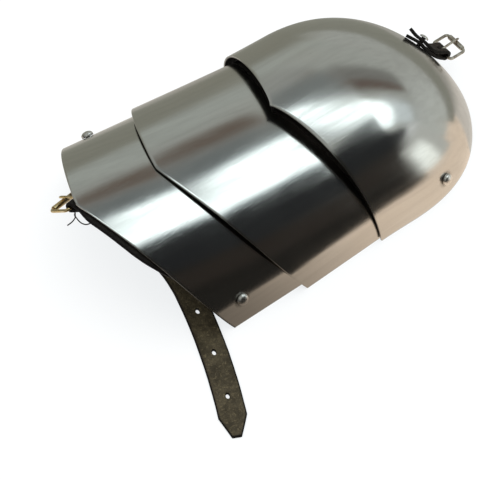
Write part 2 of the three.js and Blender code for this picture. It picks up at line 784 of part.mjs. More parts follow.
// Materials from the photograph
const steel = () => new THREE.MeshStandardMaterial({ color: 0xc4c3bf, roughness: 0.28, metalness: 1 });
const rivetSteel = () => new THREE.MeshStandardMaterial({ color: 0xb4b2ae, roughness: 0.32, metalness: 1 });
const strapLeather = () => new THREE.MeshStandardMaterial({ color: 0x3d3829, roughness: 0.85, metalness: 0 });
const darkLeather = () => new THREE.MeshStandardMaterial({ color: 0x1b1816, roughness: 0.7, metalness: 0 });
const brass = () => new THREE.MeshStandardMaterial({ color: 0xb5965a, roughness: 0.35, metalness: 1 });
const nickel = () => new THREE.MeshStandardMaterial({ color: 0xb9b2a6, roughness: 0.3, metalness: 1 });
const thread = () => new THREE.MeshStandardMaterial({ color: 0x16130f, roughness: 0.9, metalness: 0 });

const pauldron = new THREE.Group();
function add(name, geometry, material) {
  const mesh = new THREE.Mesh(geometry, material);
  mesh.name = name;
  pauldron.add(mesh);
}

// Rivets and their holes
const rivets = sides.map((entry) => ({ ...entry, ...sideRivets(entry) }));
const strapRivet = riveting(
  'arm_strap',
  facePoint(lower, 0, strapRivetShare),
  faceNormal(lower, 0, strapRivetShare),
  [plateThickness, strapSeat, strapThickness],
);
const buckleRivet = riveting(
  'buckle_strap',
  facePoint(lower, buckleRivetX, -buckleRivetShareAt),
  faceNormal(lower, buckleRivetX, -buckleRivetShareAt),
  [plateThickness, strapSeat, strapThickness],
);
const neckTab = neckTabParts();
const tabDepth = 2 * tabThickness + layerGap;
const tabUnder = tabStand - (tabThickness + layerGap / 2);
const neckRivet = riveting(
  'neck_tab',
  neckTab.rivetPoint,
  neckTab.rivetNormal,
  [tabSeat, tabDepth, tabUnder, plateThickness],
  tabHead,
);

// Plates
add('cop', cut(plateSheet(cop, copColumns, copRows), [...rivets.map((r) => r.cop.hole), neckRivet.hole]), steel());
add('middle_lame', cut(plateSheet(middle, lameColumns, lameRows), rivets.map((r) => r.middle.hole)), steel());
add('lower_lame', cut(
  plateSheet(lower, lameColumns, lameRows),
  [...rivets.map((r) => r.lower.hole), strapRivet.hole, buckleRivet.hole],
), steel());

// Inner leathers and the rivets that hold them
for (const entry of rivets) {
  add(`${entry.word}_upper_leather`, cut(upperLeather(entry), [entry.cop.hole, entry.middle.hole]), darkLeather());
  add(`${entry.word}_lower_leather`, cut(lowerLeather(entry), [entry.middle.hole, entry.lower.hole]), darkLeather());
  for (const spot of [entry.cop, entry.middle, entry.lower]) {
    add(`${spot.name}_rivet`, spot.rivet, rivetSteel());
    add(`${spot.name}_burr`, spot.burr, rivetSteel());
  }
}

// Arm strap, buckle strap and arm buckle
add('arm_strap', armStrap(strapRivet.hole), strapLeather());
const buckleStrap = buckleStrapParts();
const armBar = rightHanded(swung(buckleStrap.bar, -armBuckleDroopDegrees));
const armBuckle = buckleParts(armBar, armBuckleHalfWidth, armBuckleLength, strapThickness);
const foldSlot = buckleParts(rightHanded(buckleStrap.bar), armBuckleHalfWidth, armBuckleLength, strapThickness).slot;
add('buckle_strap', cut(buckleStrap.shape, [buckleRivet.hole, foldSlot]), darkLeather());
for (const spot of [strapRivet, buckleRivet]) {
  add(`${spot.name}_rivet`, spot.rivet, rivetSteel());
  add(`${spot.name}_burr`, spot.burr, rivetSteel());
}
add('arm_buckle_frame', armBuckle.frame, brass());
add('arm_buckle_roller', armBuckle.roller, brass());
add('arm_buckle_prong', armBuckle.prong, brass());
add('loose_thread', threadShape(), thread());

// Neck tab and neck buckle
const neckBar = rightHanded(swung(neckTab.bar, neckBuckleTiltDegrees));
const neckBuckle = buckleParts(neckBar, neckBuckleHalfWidth, neckBuckleLength, tabThickness);
add('neck_tab', cut(neckTab.shape, [neckRivet.hole, neckBuckle.slot]), darkLeather());
add('neck_tab_rivet', neckRivet.rivet, rivetSteel());
add('neck_tab_burr', neckRivet.burr, rivetSteel());
add('neck_buckle_frame', neckBuckle.frame, nickel());
add('neck_buckle_roller', neckBuckle.roller, nickel());
add('neck_buckle_prong', neckBuckle.prong, nickel());

// The origin: on the base plane under the middle of the object, its thread left out
const extent = new THREE.Box3();
for (const mesh of pauldron.children) {
  if (mesh.name !== 'loose_thread') {
    extent.expandByObject(mesh);
  }
}
const centre = extent.getCenter(new THREE.Vector3());
for (const mesh of pauldron.children) {
  mesh.geometry.translate(-centre.x, -centre.y, 0);
}

export default pauldron;
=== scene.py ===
import math
from functools import cached_property

import bmesh
import bpy
import numpy as np
from mathutils import Matrix, Vector, noise


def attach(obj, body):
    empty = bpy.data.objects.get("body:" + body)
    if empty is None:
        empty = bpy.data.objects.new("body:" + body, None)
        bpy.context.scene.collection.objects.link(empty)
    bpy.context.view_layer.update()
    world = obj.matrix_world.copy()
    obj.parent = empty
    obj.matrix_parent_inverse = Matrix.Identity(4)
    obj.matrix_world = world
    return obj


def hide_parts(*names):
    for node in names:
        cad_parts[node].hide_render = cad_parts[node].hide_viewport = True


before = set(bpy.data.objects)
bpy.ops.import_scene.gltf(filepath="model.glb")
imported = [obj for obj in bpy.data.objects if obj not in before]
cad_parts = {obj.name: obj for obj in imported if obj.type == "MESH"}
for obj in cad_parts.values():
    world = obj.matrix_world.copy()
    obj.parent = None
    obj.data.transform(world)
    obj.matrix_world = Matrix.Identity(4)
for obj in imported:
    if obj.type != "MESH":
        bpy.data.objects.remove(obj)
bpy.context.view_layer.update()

MM = 0.001
ORIGIN = Vector((103.34894, -32.08982, 0.0))  # the frame's origin in the set-out, in mm
QUARTER = math.pi / 2


def put(p):
    """A point of the set-out, in millimetres, in the frame of the part, in metres."""
    return (Vector(p) - ORIGIN) * MM


def clamp(t):
    return min(1.0, max(0.0, t))


def smoothstep(t):
    t = clamp(t)
    return t * t * (3 - 2 * t)


def link(obj):
    bpy.context.scene.collection.objects.link(obj)
    return obj


# ---- camera
EYE = Vector((-0.50732, -0.59690, 1.03956))
AHEAD = Vector((0.35559, 0.48384, -0.79966))
RIGHT = Vector((0.80579, -0.59220, 0.0))
UP = Vector((0.47356, 0.64436, 0.60045))
camera_data = bpy.data.cameras.new("camera")
camera = link(bpy.data.objects.new("camera", camera_data))
camera_data.sensor_width = 36.0
camera_data.lens = 143.64
camera_data.shift_x = 0.0366
camera_data.shift_y = -0.0756
camera_data.clip_start = 0.05
camera_data.clip_end = 50
camera.matrix_world = Matrix([(RIGHT[i], UP[i], -AHEAD[i], EYE[i]) for i in range(3)] + [(0, 0, 0, 1)])
bpy.context.scene.camera = camera


# ---- material helpers
class Nodes:
    """The node tree of a material or world, under construction."""

    def __init__(self, owner):
        owner.use_nodes = True
        self.owner, self.tree = owner, owner.node_tree

    @cached_property
    def shader(self):
        return self.tree.nodes["Principled BSDF"]

    @cached_property
    def coords(self):
        return self.new("ShaderNodeTexCoord").outputs["Object"]

    def new(self, kind, inputs=None, **settings):
        node = self.tree.nodes.new(kind)
        for key, value in settings.items():
            setattr(node, key, value)
        for key, value in (inputs or {}).items():
            self.feed(node.inputs[key], value)
        return node

    def feed(self, socket, value):
        """Sets a socket to a number, a vector or a colour, or links an output to it."""
        if isinstance(value, (int, float)):
            socket.default_value = value
        elif isinstance(value, tuple):
            socket.default_value = (*value, 1.0)[:len(socket.default_value)]
        else:
            self.tree.links.new(value, socket)

    def surface(self, **values):
        """Feeds the shader's sockets, named with _ for each space."""
        for name, value in values.items():
            self.feed(self.shader.inputs[name.replace("_", " ")], value)

    def scaled(self, stretch, turn=(0, 0, 0)):
        inputs = {"Scale": stretch, "Rotation": turn, "Vector": self.coords}
        return self.new("ShaderNodeMapping", inputs).outputs["Vector"]

    def noise(self, scale, detail=3.0, rough=0.5, stretch=(1, 1, 1), warp=0.0, turn=(0, 0, 0)):
        inputs = {"Scale": scale, "Detail": detail, "Roughness": rough, "Distortion": warp,
                  "Vector": self.scaled(stretch, turn)}
        return self.new("ShaderNodeTexNoise", inputs).outputs["Fac"]

    def voronoi(self, scale, feature="F1"):
        inputs = {"Scale": scale, "Vector": self.scaled((1, 1, 1))}
        return self.new("ShaderNodeTexVoronoi", inputs, feature=feature).outputs["Distance"]

    def attribute(self, name):
        return self.new("ShaderNodeAttribute", attribute_name=name).outputs["Fac"]

    def axes(self, vector):
        return list(self.new("ShaderNodeSeparateXYZ", {0: vector}).outputs)

    def span(self, value, low, high, to_low=0.0, to_high=1.0):
        """Soft step from to_low to to_high while value goes from low to high."""
        inputs = {"From Min": low, "From Max": high, "To Min": to_low, "To Max": to_high, "Value": value}
        return self.new("ShaderNodeMapRange", inputs, interpolation_type="SMOOTHSTEP").outputs["Result"]

    def math(self, operation, a, b=0.0):
        return self.new("ShaderNodeMath", {0: a, 1: b}, operation=operation).outputs["Value"]

    def times(self, a, b):
        return self.math("MULTIPLY", a, b)

    def mix(self, factor, a, b):
        return self.new("ShaderNodeMix", {"Factor": factor, 6: a, 7: b}, data_type="RGBA").outputs[2]

    def bump(self, heights):
        """Bumps on top of each other: pairs of height and distance in metres."""
        normal = None
        for height, distance in heights:
            inputs = {"Distance": distance, "Height": height}
            if normal is not None:
                inputs["Normal"] = normal
            normal = self.new("ShaderNodeBump", inputs).outputs["Normal"]
        self.surface(Normal=normal)


def new_surface(name, metallic):
    m = Nodes(bpy.data.materials.new(name))
    m.surface(Metallic=metallic)
    return m


def shaded(colour, factor):
    return tuple(c * factor for c in colour)


def steel_material(name, base, grain=1.0, roughness=0.155):
    """Polished steel: streaks along the plate, clouds, stains, pits and grime, with painted shade inside, under the
    next plate and beside the buckle strap.
    """
    m = new_surface(name, 1.0)
    cloud = m.noise(9, 4, 0.55)
    streak = m.noise(6, 5, 0.6, stretch=(1.2, 34, 34))
    fine = m.noise(60, 3, 0.6, stretch=(0.6, 22, 22))
    scratch = m.noise(14, 2, 0.5, stretch=(1, 70, 70), turn=(0.0, 0.0, 0.35))
    stain = m.span(m.noise(16, 6, 0.62, warp=0.4), 0.54, 0.74)
    pits = m.times(m.span(m.voronoi(130), 0.03, 0.09, 1.0, 0.0), m.span(m.noise(24, 3, 0.6), 0.56, 0.66))
    hidden, grime = m.attribute("hidden"), m.attribute("grime")
    warm = (base[0] * 0.97, base[1] * 0.92, base[2] * 0.86)
    tone = m.mix(m.span(streak, 0.35, 0.7), base, shaded(base, 0.93))
    tone = m.mix(m.span(cloud, 0.48, 0.7, 0.0, 0.3), tone, warm)
    for share, strength, colour in (
        (stain, 0.12, shaded(base, 0.7)),
        (pits, 0.6, (0.16, 0.14, 0.12)),
        # painted shade inside the plate and under the next plate
        (hidden, 0.93, (0.055, 0.05, 0.047)),
        # grime round the rivets, and painted shade along the buckle strap's edge
        (grime, 0.75, (0.05, 0.042, 0.036)),
    ):
        tone = m.mix(m.times(share, strength), tone, colour)
    rough = m.span(streak, 0.3, 0.75, roughness - 0.03, roughness + 0.03)
    rough = m.math("ADD", rough, m.span(cloud, 0.4, 0.7, 0.0, 0.05))
    rough = m.math("ADD", rough, m.times(grime, 0.25))
    rough = m.math("ADD", rough, m.times(hidden, 0.3))
    m.surface(Base_Color=tone, Roughness=rough)
    m.bump([
        (fine, 0.000005 * grain),
        (streak, 0.000006 * grain),
        (m.span(scratch, 0.60, 0.66), 0.000005 * grain),
    ])
    return m.owner


def leather_material(name, base, deep, edge, roughness=0.62):
    """Leather with pores and a cracked grain, mottled, and burnished along its rim."""
    m = new_surface(name, 0.0)
    pores = m.voronoi(900)
    cells = m.voronoi(420, "DISTANCE_TO_EDGE")
    mottle = m.noise(120, 6, 0.7, warp=0.3)
    patch = m.noise(420, 4, 0.7)
    rim = m.attribute("rim")
    tone = m.mix(m.span(mottle, 0.36, 0.66), deep, base)
    tone = m.mix(m.span(patch, 0.52, 0.66, 0.0, 0.75), tone, shaded(base, 1.7))
    tone = m.mix(m.span(cells, 0.0, 0.12, 0.45, 0.0), tone, deep)
    tone = m.mix(m.span(rim, 0.0, 0.6), tone, edge)
    rough = m.span(patch, 0.3, 0.7, roughness - 0.1, roughness + 0.12)
    m.surface(Base_Color=tone, Roughness=m.math("ADD", rough, m.times(rim, 0.1)), Specular_IOR_Level=0.25)
    m.bump([(m.span(cells, 0.0, 0.2), 0.00012), (pores, 0.00008), (mottle, 0.0003)])
    return m.owner


def wire_material(name, base, worn, tarnish, roughness):
    """Cast and drawn metal of the buckles, worn bright in places and tarnished in others."""
    m = new_surface(name, 1.0)
    wear = m.noise(170, 5, 0.6)
    spots = m.noise(600, 4, 0.6)
    tone = m.mix(m.span(wear, 0.42, 0.66), base, worn)
    tone = m.mix(m.span(spots, 0.56, 0.72, 0.0, 0.6), tone, tarnish)
    tone = m.mix(m.times(m.attribute("grime"), 0.8), tone, shaded(tarnish, 0.25))
    m.surface(Base_Color=tone, Roughness=m.span(wear, 0.3, 0.7, roughness - 0.07, roughness + 0.14))
    m.bump([(spots, 0.00003), (m.noise(90, 3, 0.5), 0.00008)])
    return m.owner


def thread_material(name, base):
    m = new_surface(name, 0.0)
    twist = m.new("ShaderNodeTexWave", {"Scale": 420, "Distortion": 2.0, "Vector": m.coords})
    fibre = m.noise(2400, 4, 0.7)
    m.surface(Base_Color=m.mix(m.span(fibre, 0.35, 0.7), base, shaded(base, 2.4)), Roughness=0.55)
    m.bump([(twist.outputs["Fac"], 0.00008), (fibre, 0.00003)])
    return m.owner


steel = steel_material("polished_steel", (0.60, 0.59, 0.565))
rivet_steel = steel_material("rivet_steel", (0.72, 0.70, 0.67), 0.6, 0.34)
burr_steel = steel_material("burr_steel", (0.52, 0.5, 0.47), 2.0)
strap_leather = leather_material("olive_leather", (0.078, 0.064, 0.036), (0.036, 0.029, 0.016),
                                 (0.008, 0.006, 0.004))
dark_leather = leather_material("black_leather", (0.012, 0.010, 0.008), (0.006, 0.005, 0.004),
                                (0.004, 0.003, 0.003), 0.6)
tab_leather = leather_material("brown_leather", (0.020, 0.012, 0.008), (0.008, 0.005, 0.004),
                               (0.004, 0.003, 0.002), 0.5)
brass = wire_material("aged_brass", (0.74, 0.56, 0.28), (0.90, 0.78, 0.54), (0.40, 0.26, 0.10), 0.27)
nickel = wire_material("worn_nickel", (0.40, 0.35, 0.29), (0.72, 0.68, 0.60), (0.12, 0.09, 0.06), 0.24)
waxed_thread = thread_material("waxed_thread", (0.006, 0.005, 0.004))


# ---- mesh helpers
def clean_mesh(mesh, weld=0.0):
    """Joins points closer than weld, if any, and turns all faces outwards."""
    bm = bmesh.new()
    bm.from_mesh(mesh)
    if weld:
        bmesh.ops.remove_doubles(bm, verts=bm.verts, dist=weld)
    bmesh.ops.recalc_face_normals(bm, faces=bm.faces)
    bm.to_mesh(mesh)
    bm.free()


def smooth(mesh):
    for polygon in mesh.polygons:
        polygon.use_smooth = True


def mesh_object(name, verts, faces, material):
    mesh = bpy.data.meshes.new(name)
    mesh.from_pydata([tuple(v) for v in verts], [], [tuple(f) for f in faces])
    obj = link(bpy.data.objects.new(name, mesh))
    clean_mesh(mesh)
    mesh.materials.append(material)
    smooth(mesh)
    return obj


def stand_for(obj, body, node):
    """The piece rides on a body and takes the place of a CAD solid."""
    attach(obj, body)
    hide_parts(node)


def write_attribute(obj, name, values):
    """Writes one value for each vertex, or the same one for all."""
    attribute = obj.data.attributes.new(name, "FLOAT", "POINT")
    values = np.broadcast_to(np.asarray(values, np.float32), len(obj.data.vertices))
    attribute.data.foreach_set("value", np.ascontiguousarray(values))


def apply_modifiers(obj):
    graph = bpy.context.evaluated_depsgraph_get()
    mesh = bpy.data.meshes.new_from_object(obj.evaluated_get(graph))
    obj.modifiers.clear()
    smooth(mesh)
    obj.data = mesh


def ring_faces(rings, sides, closed=False):
    """Faces between rings of points, with flat ends unless the rings close on themselves."""
    faces = []
    for i in range(rings if closed else rings - 1):
        a, b = i * sides, (i + 1) % rings * sides
        faces += [(a + j, a + (j + 1) % sides, b + (j + 1) % sides, b + j) for j in range(sides)]
    if not closed:
        faces += [tuple(range(sides))[::-1], tuple(range((rings - 1) * sides, rings * sides))]
    return faces


def tube(points, radii, sides, normal, closed=False):
    """Vertices and faces of a tube along points that lie in a plane with the given normal."""
    count = len(points)
    verts = []
    for i, p in enumerate(points):
        before = points[i - 1] if closed or i else points[0]
        after = points[(i + 1) % count] if closed or i < count - 1 else points[-1]
        tangent = (after - before).normalized()
        side = tangent.cross(normal).normalized()
        up = side.cross(tangent).normalized()
        for j in range(sides):
            angle = 2 * math.pi * j / sides
            verts.append(p + (side * math.cos(angle) + up * math.sin(angle)) * radii[i])
    return verts, ring_faces(count, sides, closed)


def catmull(points, steps):
    """Smooth points through the given ones, steps to each span."""
    out = []
    n = len(points)
    for i in range(n - 1):
        p0 = points[i - 1] if i else points[0] * 2 - points[1]
        p1, p2 = points[i], points[i + 1]
        p3 = points[i + 2] if i + 2 < n else points[-1] * 2 - points[-2]
        for k in range(steps):
            t = k / steps
            out.append(0.5 * (p1 * 2 + (p2 - p0) * t + (p0 * 2 - p1 * 5 + p2 * 4 - p3) * t * t
                              + (p1 * 3 - p0 - p2 * 3 + p3) * t ** 3))
    out.append(points[-1].copy())
    return out


def lathe(profile, origin, axis, steps, wobble=0.0):
    """Vertices and faces of a profile of radius and height turned about an axis through origin, in mm."""
    axis = axis.normalized()
    a = axis.orthogonal().normalized()
    b = axis.cross(a)
    verts, faces, rings = [], [], []
    for r, h in profile:
        ring = []
        for j in range(steps if r > 1e-6 else 1):
            angle = 2 * math.pi * j / steps
            direction = a * math.cos(angle) + b * math.sin(angle)
            spread = 1 + wobble * noise.noise(direction * 1.7 + axis * h + origin * 0.05)
            ring.append(len(verts))
            verts.append(put(origin + direction * (r * spread) + axis * h))
        rings.append(ring)
    for one, two in zip(rings, rings[1:]):
        for j, k in zip(range(steps), [*range(1, steps), 0]):
            if len(one) == 1:
                faces.append((one[0], two[j], two[k]))
            elif len(two) == 1:
                faces.append((one[j], one[k], two[0]))
            else:
                faces.append((one[j], one[k], two[k], two[j]))
    return verts, faces


# ---- thread: its route is the CAD one
THREAD_ROUTE = [
    (-0.154349, 0.019090, 0.081), (-0.156049, 0.020090, 0.0799), (-0.158349, 0.021090, 0.0796),
    (-0.159949, 0.023090, 0.0798), (-0.160349, 0.026090, 0.0794), (-0.159949, 0.029590, 0.0785),
    (-0.159449, 0.032090, 0.0772), (-0.159249, 0.032790, 0.0778), (-0.158249, 0.033890, 0.0779),
    (-0.157549, 0.034890, 0.0766), (-0.157849, 0.034590, 0.0748), (-0.158749, 0.033590, 0.0732),
    (-0.161749, 0.032590, 0.0724), (-0.165749, 0.031590, 0.0731),
]
route = catmull([Vector(p) for p in THREAD_ROUTE], 6)
curve = bpy.data.curves.new("loose_thread_end", "CURVE")
curve.dimensions = "3D"
curve.bevel_depth = 0.0004
curve.bevel_resolution = 4
curve.use_fill_caps = True
spline = curve.splines.new("POLY")
spline.points.add(len(route) - 1)
for point, place in zip(spline.points, route):
    point.co = (*place, 1)
curve.materials.append(waxed_thread)
loose_thread = link(bpy.data.objects.new("loose_thread_end", curve))
stand_for(loose_thread, "lower_lame", "loose_thread")

# ---- sizes of the plates, in mm
# A plate's place is given by x and by its share: -1 at the front side, 0 at the crest, 1 at the rear side
PLATE = 1.4
LOWER_SIDE, LOWER_CREST = 5.2, -54.3
MIDDLE_SIDE, MIDDLE_CREST = 62.2, 6.0
COP_SIDE, COP_CREST = 125.8, 96.7
COP_FULL, DOME = 150.2, 102.7  # where the dome begins, and its length
SKIRT, SKIRT_WIDE, SKIRT_LOW = 53.5, 2.05, 2.8  # the cop's flare: its length, and how far it goes out and down
LOWER_HALF, LOWER_HIGH = 86, 88.2
LOWER_TAPER, MIDDLE_TAPER = (0.0218, 0.18), (0.053, 0.117)  # of the width and the height along x
MIDDLE_GAP, COP_GAP = (3.2, 0.6), (0.95, 7)  # under the plate, at its side and at its crest
DOME_POWER, ROUND_POWER, HIGH_POWER = 2.412, 2.015, 1.6  # of the dome's outline from above and from the side


def lower_section(x):
    return LOWER_HALF - LOWER_TAPER[0] * (x - LOWER_SIDE), LOWER_HIGH - LOWER_TAPER[1] * (x - LOWER_CREST)


MIDDLE_HALF = lower_section(MIDDLE_SIDE)[0] + PLATE + MIDDLE_GAP[0]
MIDDLE_HIGH = lower_section(MIDDLE_CREST)[1] + PLATE + MIDDLE_GAP[1]


def middle_section(x):
    return MIDDLE_HALF - MIDDLE_TAPER[0] * (x - MIDDLE_SIDE), MIDDLE_HIGH - MIDDLE_TAPER[1] * (x - MIDDLE_CREST)


def skirt(x):
    return ((COP_FULL - x) / SKIRT) ** 2


COP_HALF = middle_section(COP_SIDE)[0] + PLATE + COP_GAP[0] - SKIRT_WIDE * skirt(COP_SIDE)
COP_HIGH = middle_section(COP_CREST)[1] + PLATE + COP_GAP[1] + SKIRT_LOW


def cop_section(x):
    x = np.asarray(x, float)
    u = np.clip((x - COP_FULL) / DOME, 0, 1)
    s = np.where(x < COP_FULL, skirt(x), 0)
    wide, high = (1 - u ** DOME_POWER) ** (1 / ROUND_POWER), (1 - u ** HIGH_POWER) ** (1 / HIGH_POWER)
    return (np.where(x < COP_FULL, COP_HALF + SKIRT_WIDE * s, COP_HALF * wide),
            np.where(x < COP_FULL, COP_HIGH - SKIRT_LOW * s, COP_HIGH * high))


def edge_x(edge, share):
    """x of an edge given as its place at the crest, at the side, and the power of its bow."""
    return edge[0] + (edge[1] - edge[0]) * np.abs(share) ** edge[2]


COP = {"section": cop_section, "edge": (COP_CREST, COP_SIDE, 0.725), "over": None, "seed": 3.0,
       "top": (COP_FULL + DOME * 0.945, COP_FULL + DOME * 0.76, 4)}
MIDDLE = {"section": middle_section, "edge": (MIDDLE_CREST, MIDDLE_SIDE, 1.22), "over": COP, "seed": 17.0,
          "top": (COP_CREST + 29, COP_SIDE + 24.5, 1.22)}
LOWER = {"section": lower_section, "edge": (LOWER_CREST, LOWER_SIDE, 1.15), "over": MIDDLE, "seed": 31.0,
         "top": (MIDDLE_CREST + 29, MIDDLE_SIDE + 22, 1.15)}


def faces_at(plate, x, share):
    wide, high = plate["section"](x)
    angle = share * QUARTER
    return np.stack([x + 0 * angle, wide * np.sin(angle), high * np.cos(angle)], -1)


def normals_at(plate, x, share):
    wide, high = plate["section"](x)
    angle = share * QUARTER
    along = faces_at(plate, x + 0.1, share) - faces_at(plate, x - 0.1, share)
    across = np.stack([0 * (angle + x), wide * np.cos(angle), -high * np.sin(angle)], -1)
    normal = np.cross(along, across)
    return normal / np.linalg.norm(normal, axis=-1, keepdims=True)


def under(plate, x, share, depth=0.0):
    """Point at a depth under a plate's face, and the face's normal there."""
    place = np.float64(x), np.float64(share)
    normal = Vector(normals_at(plate, *place))
    return Vector(faces_at(plate, *place)) - normal * depth, normal


def share_at_height(plate, x, z):
    return math.acos(z / float(plate["section"](x)[1])) / QUARTER


# ---- rivets: heads, tails and burrs
DOMED, FLAT, LOW = (4.2, 3.8), (3.6, 0.8), (3.4, 2.0)  # radius and height of a head
SHANK, TAIL_RADIUS, TAIL_HEIGHT = 1.6, 2.5, 1.1
BURR_RADIUS, BURR_THICKNESS, BURR_GAP, SEAT = 4.3, 0.8, 0.75, 0.3
HOLE = SHANK + 0.45  # radius of the hole round a shank
rivet_spots = {}


def dome_profile(radius, start, rise, foot, steps):
    """Profile of a dome from its side to its top, the share foot of its rise being straight."""
    arc = [QUARTER * i / steps for i in range(steps)]
    side = [(radius * math.cos(a), start + rise * (foot + (1 - foot) * math.sin(a))) for a in arc]
    return side + [(0.0, start + rise)]


def rivet(name, body, point, normal, layers, head=DOMED):
    """Rivet and burr with the CAD sizes: an uneven dome, a shank and a peened tail over a washer."""
    depth = sum(layers)
    stack = SEAT + depth + BURR_GAP + BURR_THICKNESS + SEAT
    radius, height = head
    profile = dome_profile(TAIL_RADIUS, -stack, -TAIL_HEIGHT, 0.15, 6)[::-1]
    profile += [(TAIL_RADIUS - 0.1, -stack), (SHANK, -stack), (SHANK, 0.0)]
    profile += [(radius - 0.25, 0.0), (radius - 0.06, height * 0.05), (radius, height * 0.14)]
    profile += dome_profile(radius, 0.0, height, 0.25, 14)
    turned = lathe(profile, point + normal * SEAT, normal, 44, 0.02)
    obj = mesh_object(f"{name}_rivet_head", *turned, rivet_steel)
    write_attribute(obj, "grime", 0.0)
    stand_for(obj, body, f"{name}_rivet")
    ring = [(HOLE, 0.12), (HOLE + 0.12, 0.0), (BURR_RADIUS - 0.2, 0.0), (BURR_RADIUS, 0.2),
            (BURR_RADIUS, BURR_THICKNESS - 0.15), (BURR_RADIUS - 0.15, BURR_THICKNESS),
            (HOLE + 0.1, BURR_THICKNESS), (HOLE, BURR_THICKNESS - 0.1), (HOLE, 0.12)]
    at = point - normal * (depth + BURR_GAP + BURR_THICKNESS)
    washer = mesh_object(f"{name}_washer", *lathe(ring, at, normal, 36), burr_steel)
    clean_mesh(washer.data, 1e-6)
    write_attribute(washer, "grime", 0.1)
    stand_for(washer, body, f"{name}_burr")
    rivet_spots[name] = (point, normal)


MIDDLE_PIVOT_X, LOWER_PIVOT_X, COP_RIVET_X = COP_SIDE + 12.5, MIDDLE_SIDE + 11.1, COP_SIDE + 59
MIDDLE_PIVOT_Z, LOWER_PIVOT_Z, COP_RIVET_Z = 18, 20, 16.5
LEATHER, LEATHER_SEAT, SWIVEL, STACK = 2.0, 0.85, 1.5, 1.0
STRAP_WIDTH, STRAP, STRAP_SEAT = 18.6, 2.2, 0.75
STRAP_DEPTH = PLATE + STRAP_SEAT + STRAP / 2
STRAP_LAYERS = [PLATE, STRAP_SEAT, STRAP]
SIDES = ((-1, "front"), (1, "rear"))
for side, word in SIDES:
    for name, body, plate, x, z, layers, head in (
        ("cop", "cop", COP, COP_RIVET_X, COP_RIVET_Z, [PLATE, LEATHER_SEAT, LEATHER], DOMED),
        ("middle", "middle_lame", MIDDLE, MIDDLE_PIVOT_X, MIDDLE_PIVOT_Z,
         [PLATE, SWIVEL, LEATHER, STACK, LEATHER], FLAT),
        ("lower", "lower_lame", LOWER, LOWER_PIVOT_X, LOWER_PIVOT_Z, [PLATE, SWIVEL, LEATHER], FLAT),
    ):
        share = side * share_at_height(plate, x, z)
        rivet(f"{word}_{name}", body, *under(plate, x, share), layers, head)
BUCKLE_RIVET_X, BUCKLE_RIVET_Z = LOWER_SIDE + 8.1, 22.2
BUCKLE_RIVET_SHARE = share_at_height(LOWER, BUCKLE_RIVET_X, BUCKLE_RIVET_Z)
STRAP_RIVET_SHARE = 0.635
for name, x, share in (("arm_strap", 0, STRAP_RIVET_SHARE), ("buckle_strap", BUCKLE_RIVET_X, -BUCKLE_RIVET_SHARE)):
    rivet(name, "lower_lame", *under(LOWER, x, share), STRAP_LAYERS)


# ---- plates
RIM_ROUND = 0.38
SLOW_WAVE, QUICK_WAVE, WAVE_FADE = 0.13, 0.022, 12  # heights of the hammer's waves, and above the table
RING_RADIUS, RING_HALF = 4.6, 1.7  # grime round a rivet's head
INSIDE, INSIDE_RUN = 0.75, 0.3  # depth under the face at which the painted shade of the inside begins
LAP, LAP_RUN = 1.0, 2.5  # past the next plate's edge, where the painted shade under it begins
EDGE_SHADE, SHADE_SHARE, SHADE_RUN = 0.6, -0.38, 0.12  # painted shade on the lower lame's edge, along the buckle strap


def mark_grime_and_shade(obj, plate, places):
    """Grime round the rivets, painted shade on the lower lame's edge along the buckle strap, and painted shade inside
    and under the next plate.
    """
    grime, hidden = [], []
    for v in obj.data.vertices:
        p = v.co / MM + ORIGIN
        wide, high = (float(size) for size in plate["section"](p.x))
        share = math.atan2(p.y / wide, p.z / high) / QUARTER
        depth = (1 - math.hypot(p.y / wide, p.z / high)) * 0.5 * (wide + high)
        # Painted shade inside the plate and, past the next plate's edge, under it.
        dark = clamp((depth - INSIDE) / INSIDE_RUN)
        if plate["over"]:
            past = p.x - float(edge_x(plate["over"]["edge"], share))
            dark = max(dark, clamp((past - LAP) / LAP_RUN))
        hidden.append(dark)
        near = min((v.co - place).length for place in places) / MM
        stain = 0.8 * max(0.0, 1 - abs(near - RING_RADIUS) / RING_HALF)
        # Painted shade on the lower lame's edge beside the buckle strap, deepening towards the front side.
        if plate is LOWER and p.x - float(edge_x(plate["edge"], share)) < EDGE_SHADE:
            stain = max(stain, clamp((SHADE_SHARE - share) / SHADE_RUN))
        grime.append(stain)
    write_attribute(obj, "grime", grime)
    write_attribute(obj, "hidden", hidden)


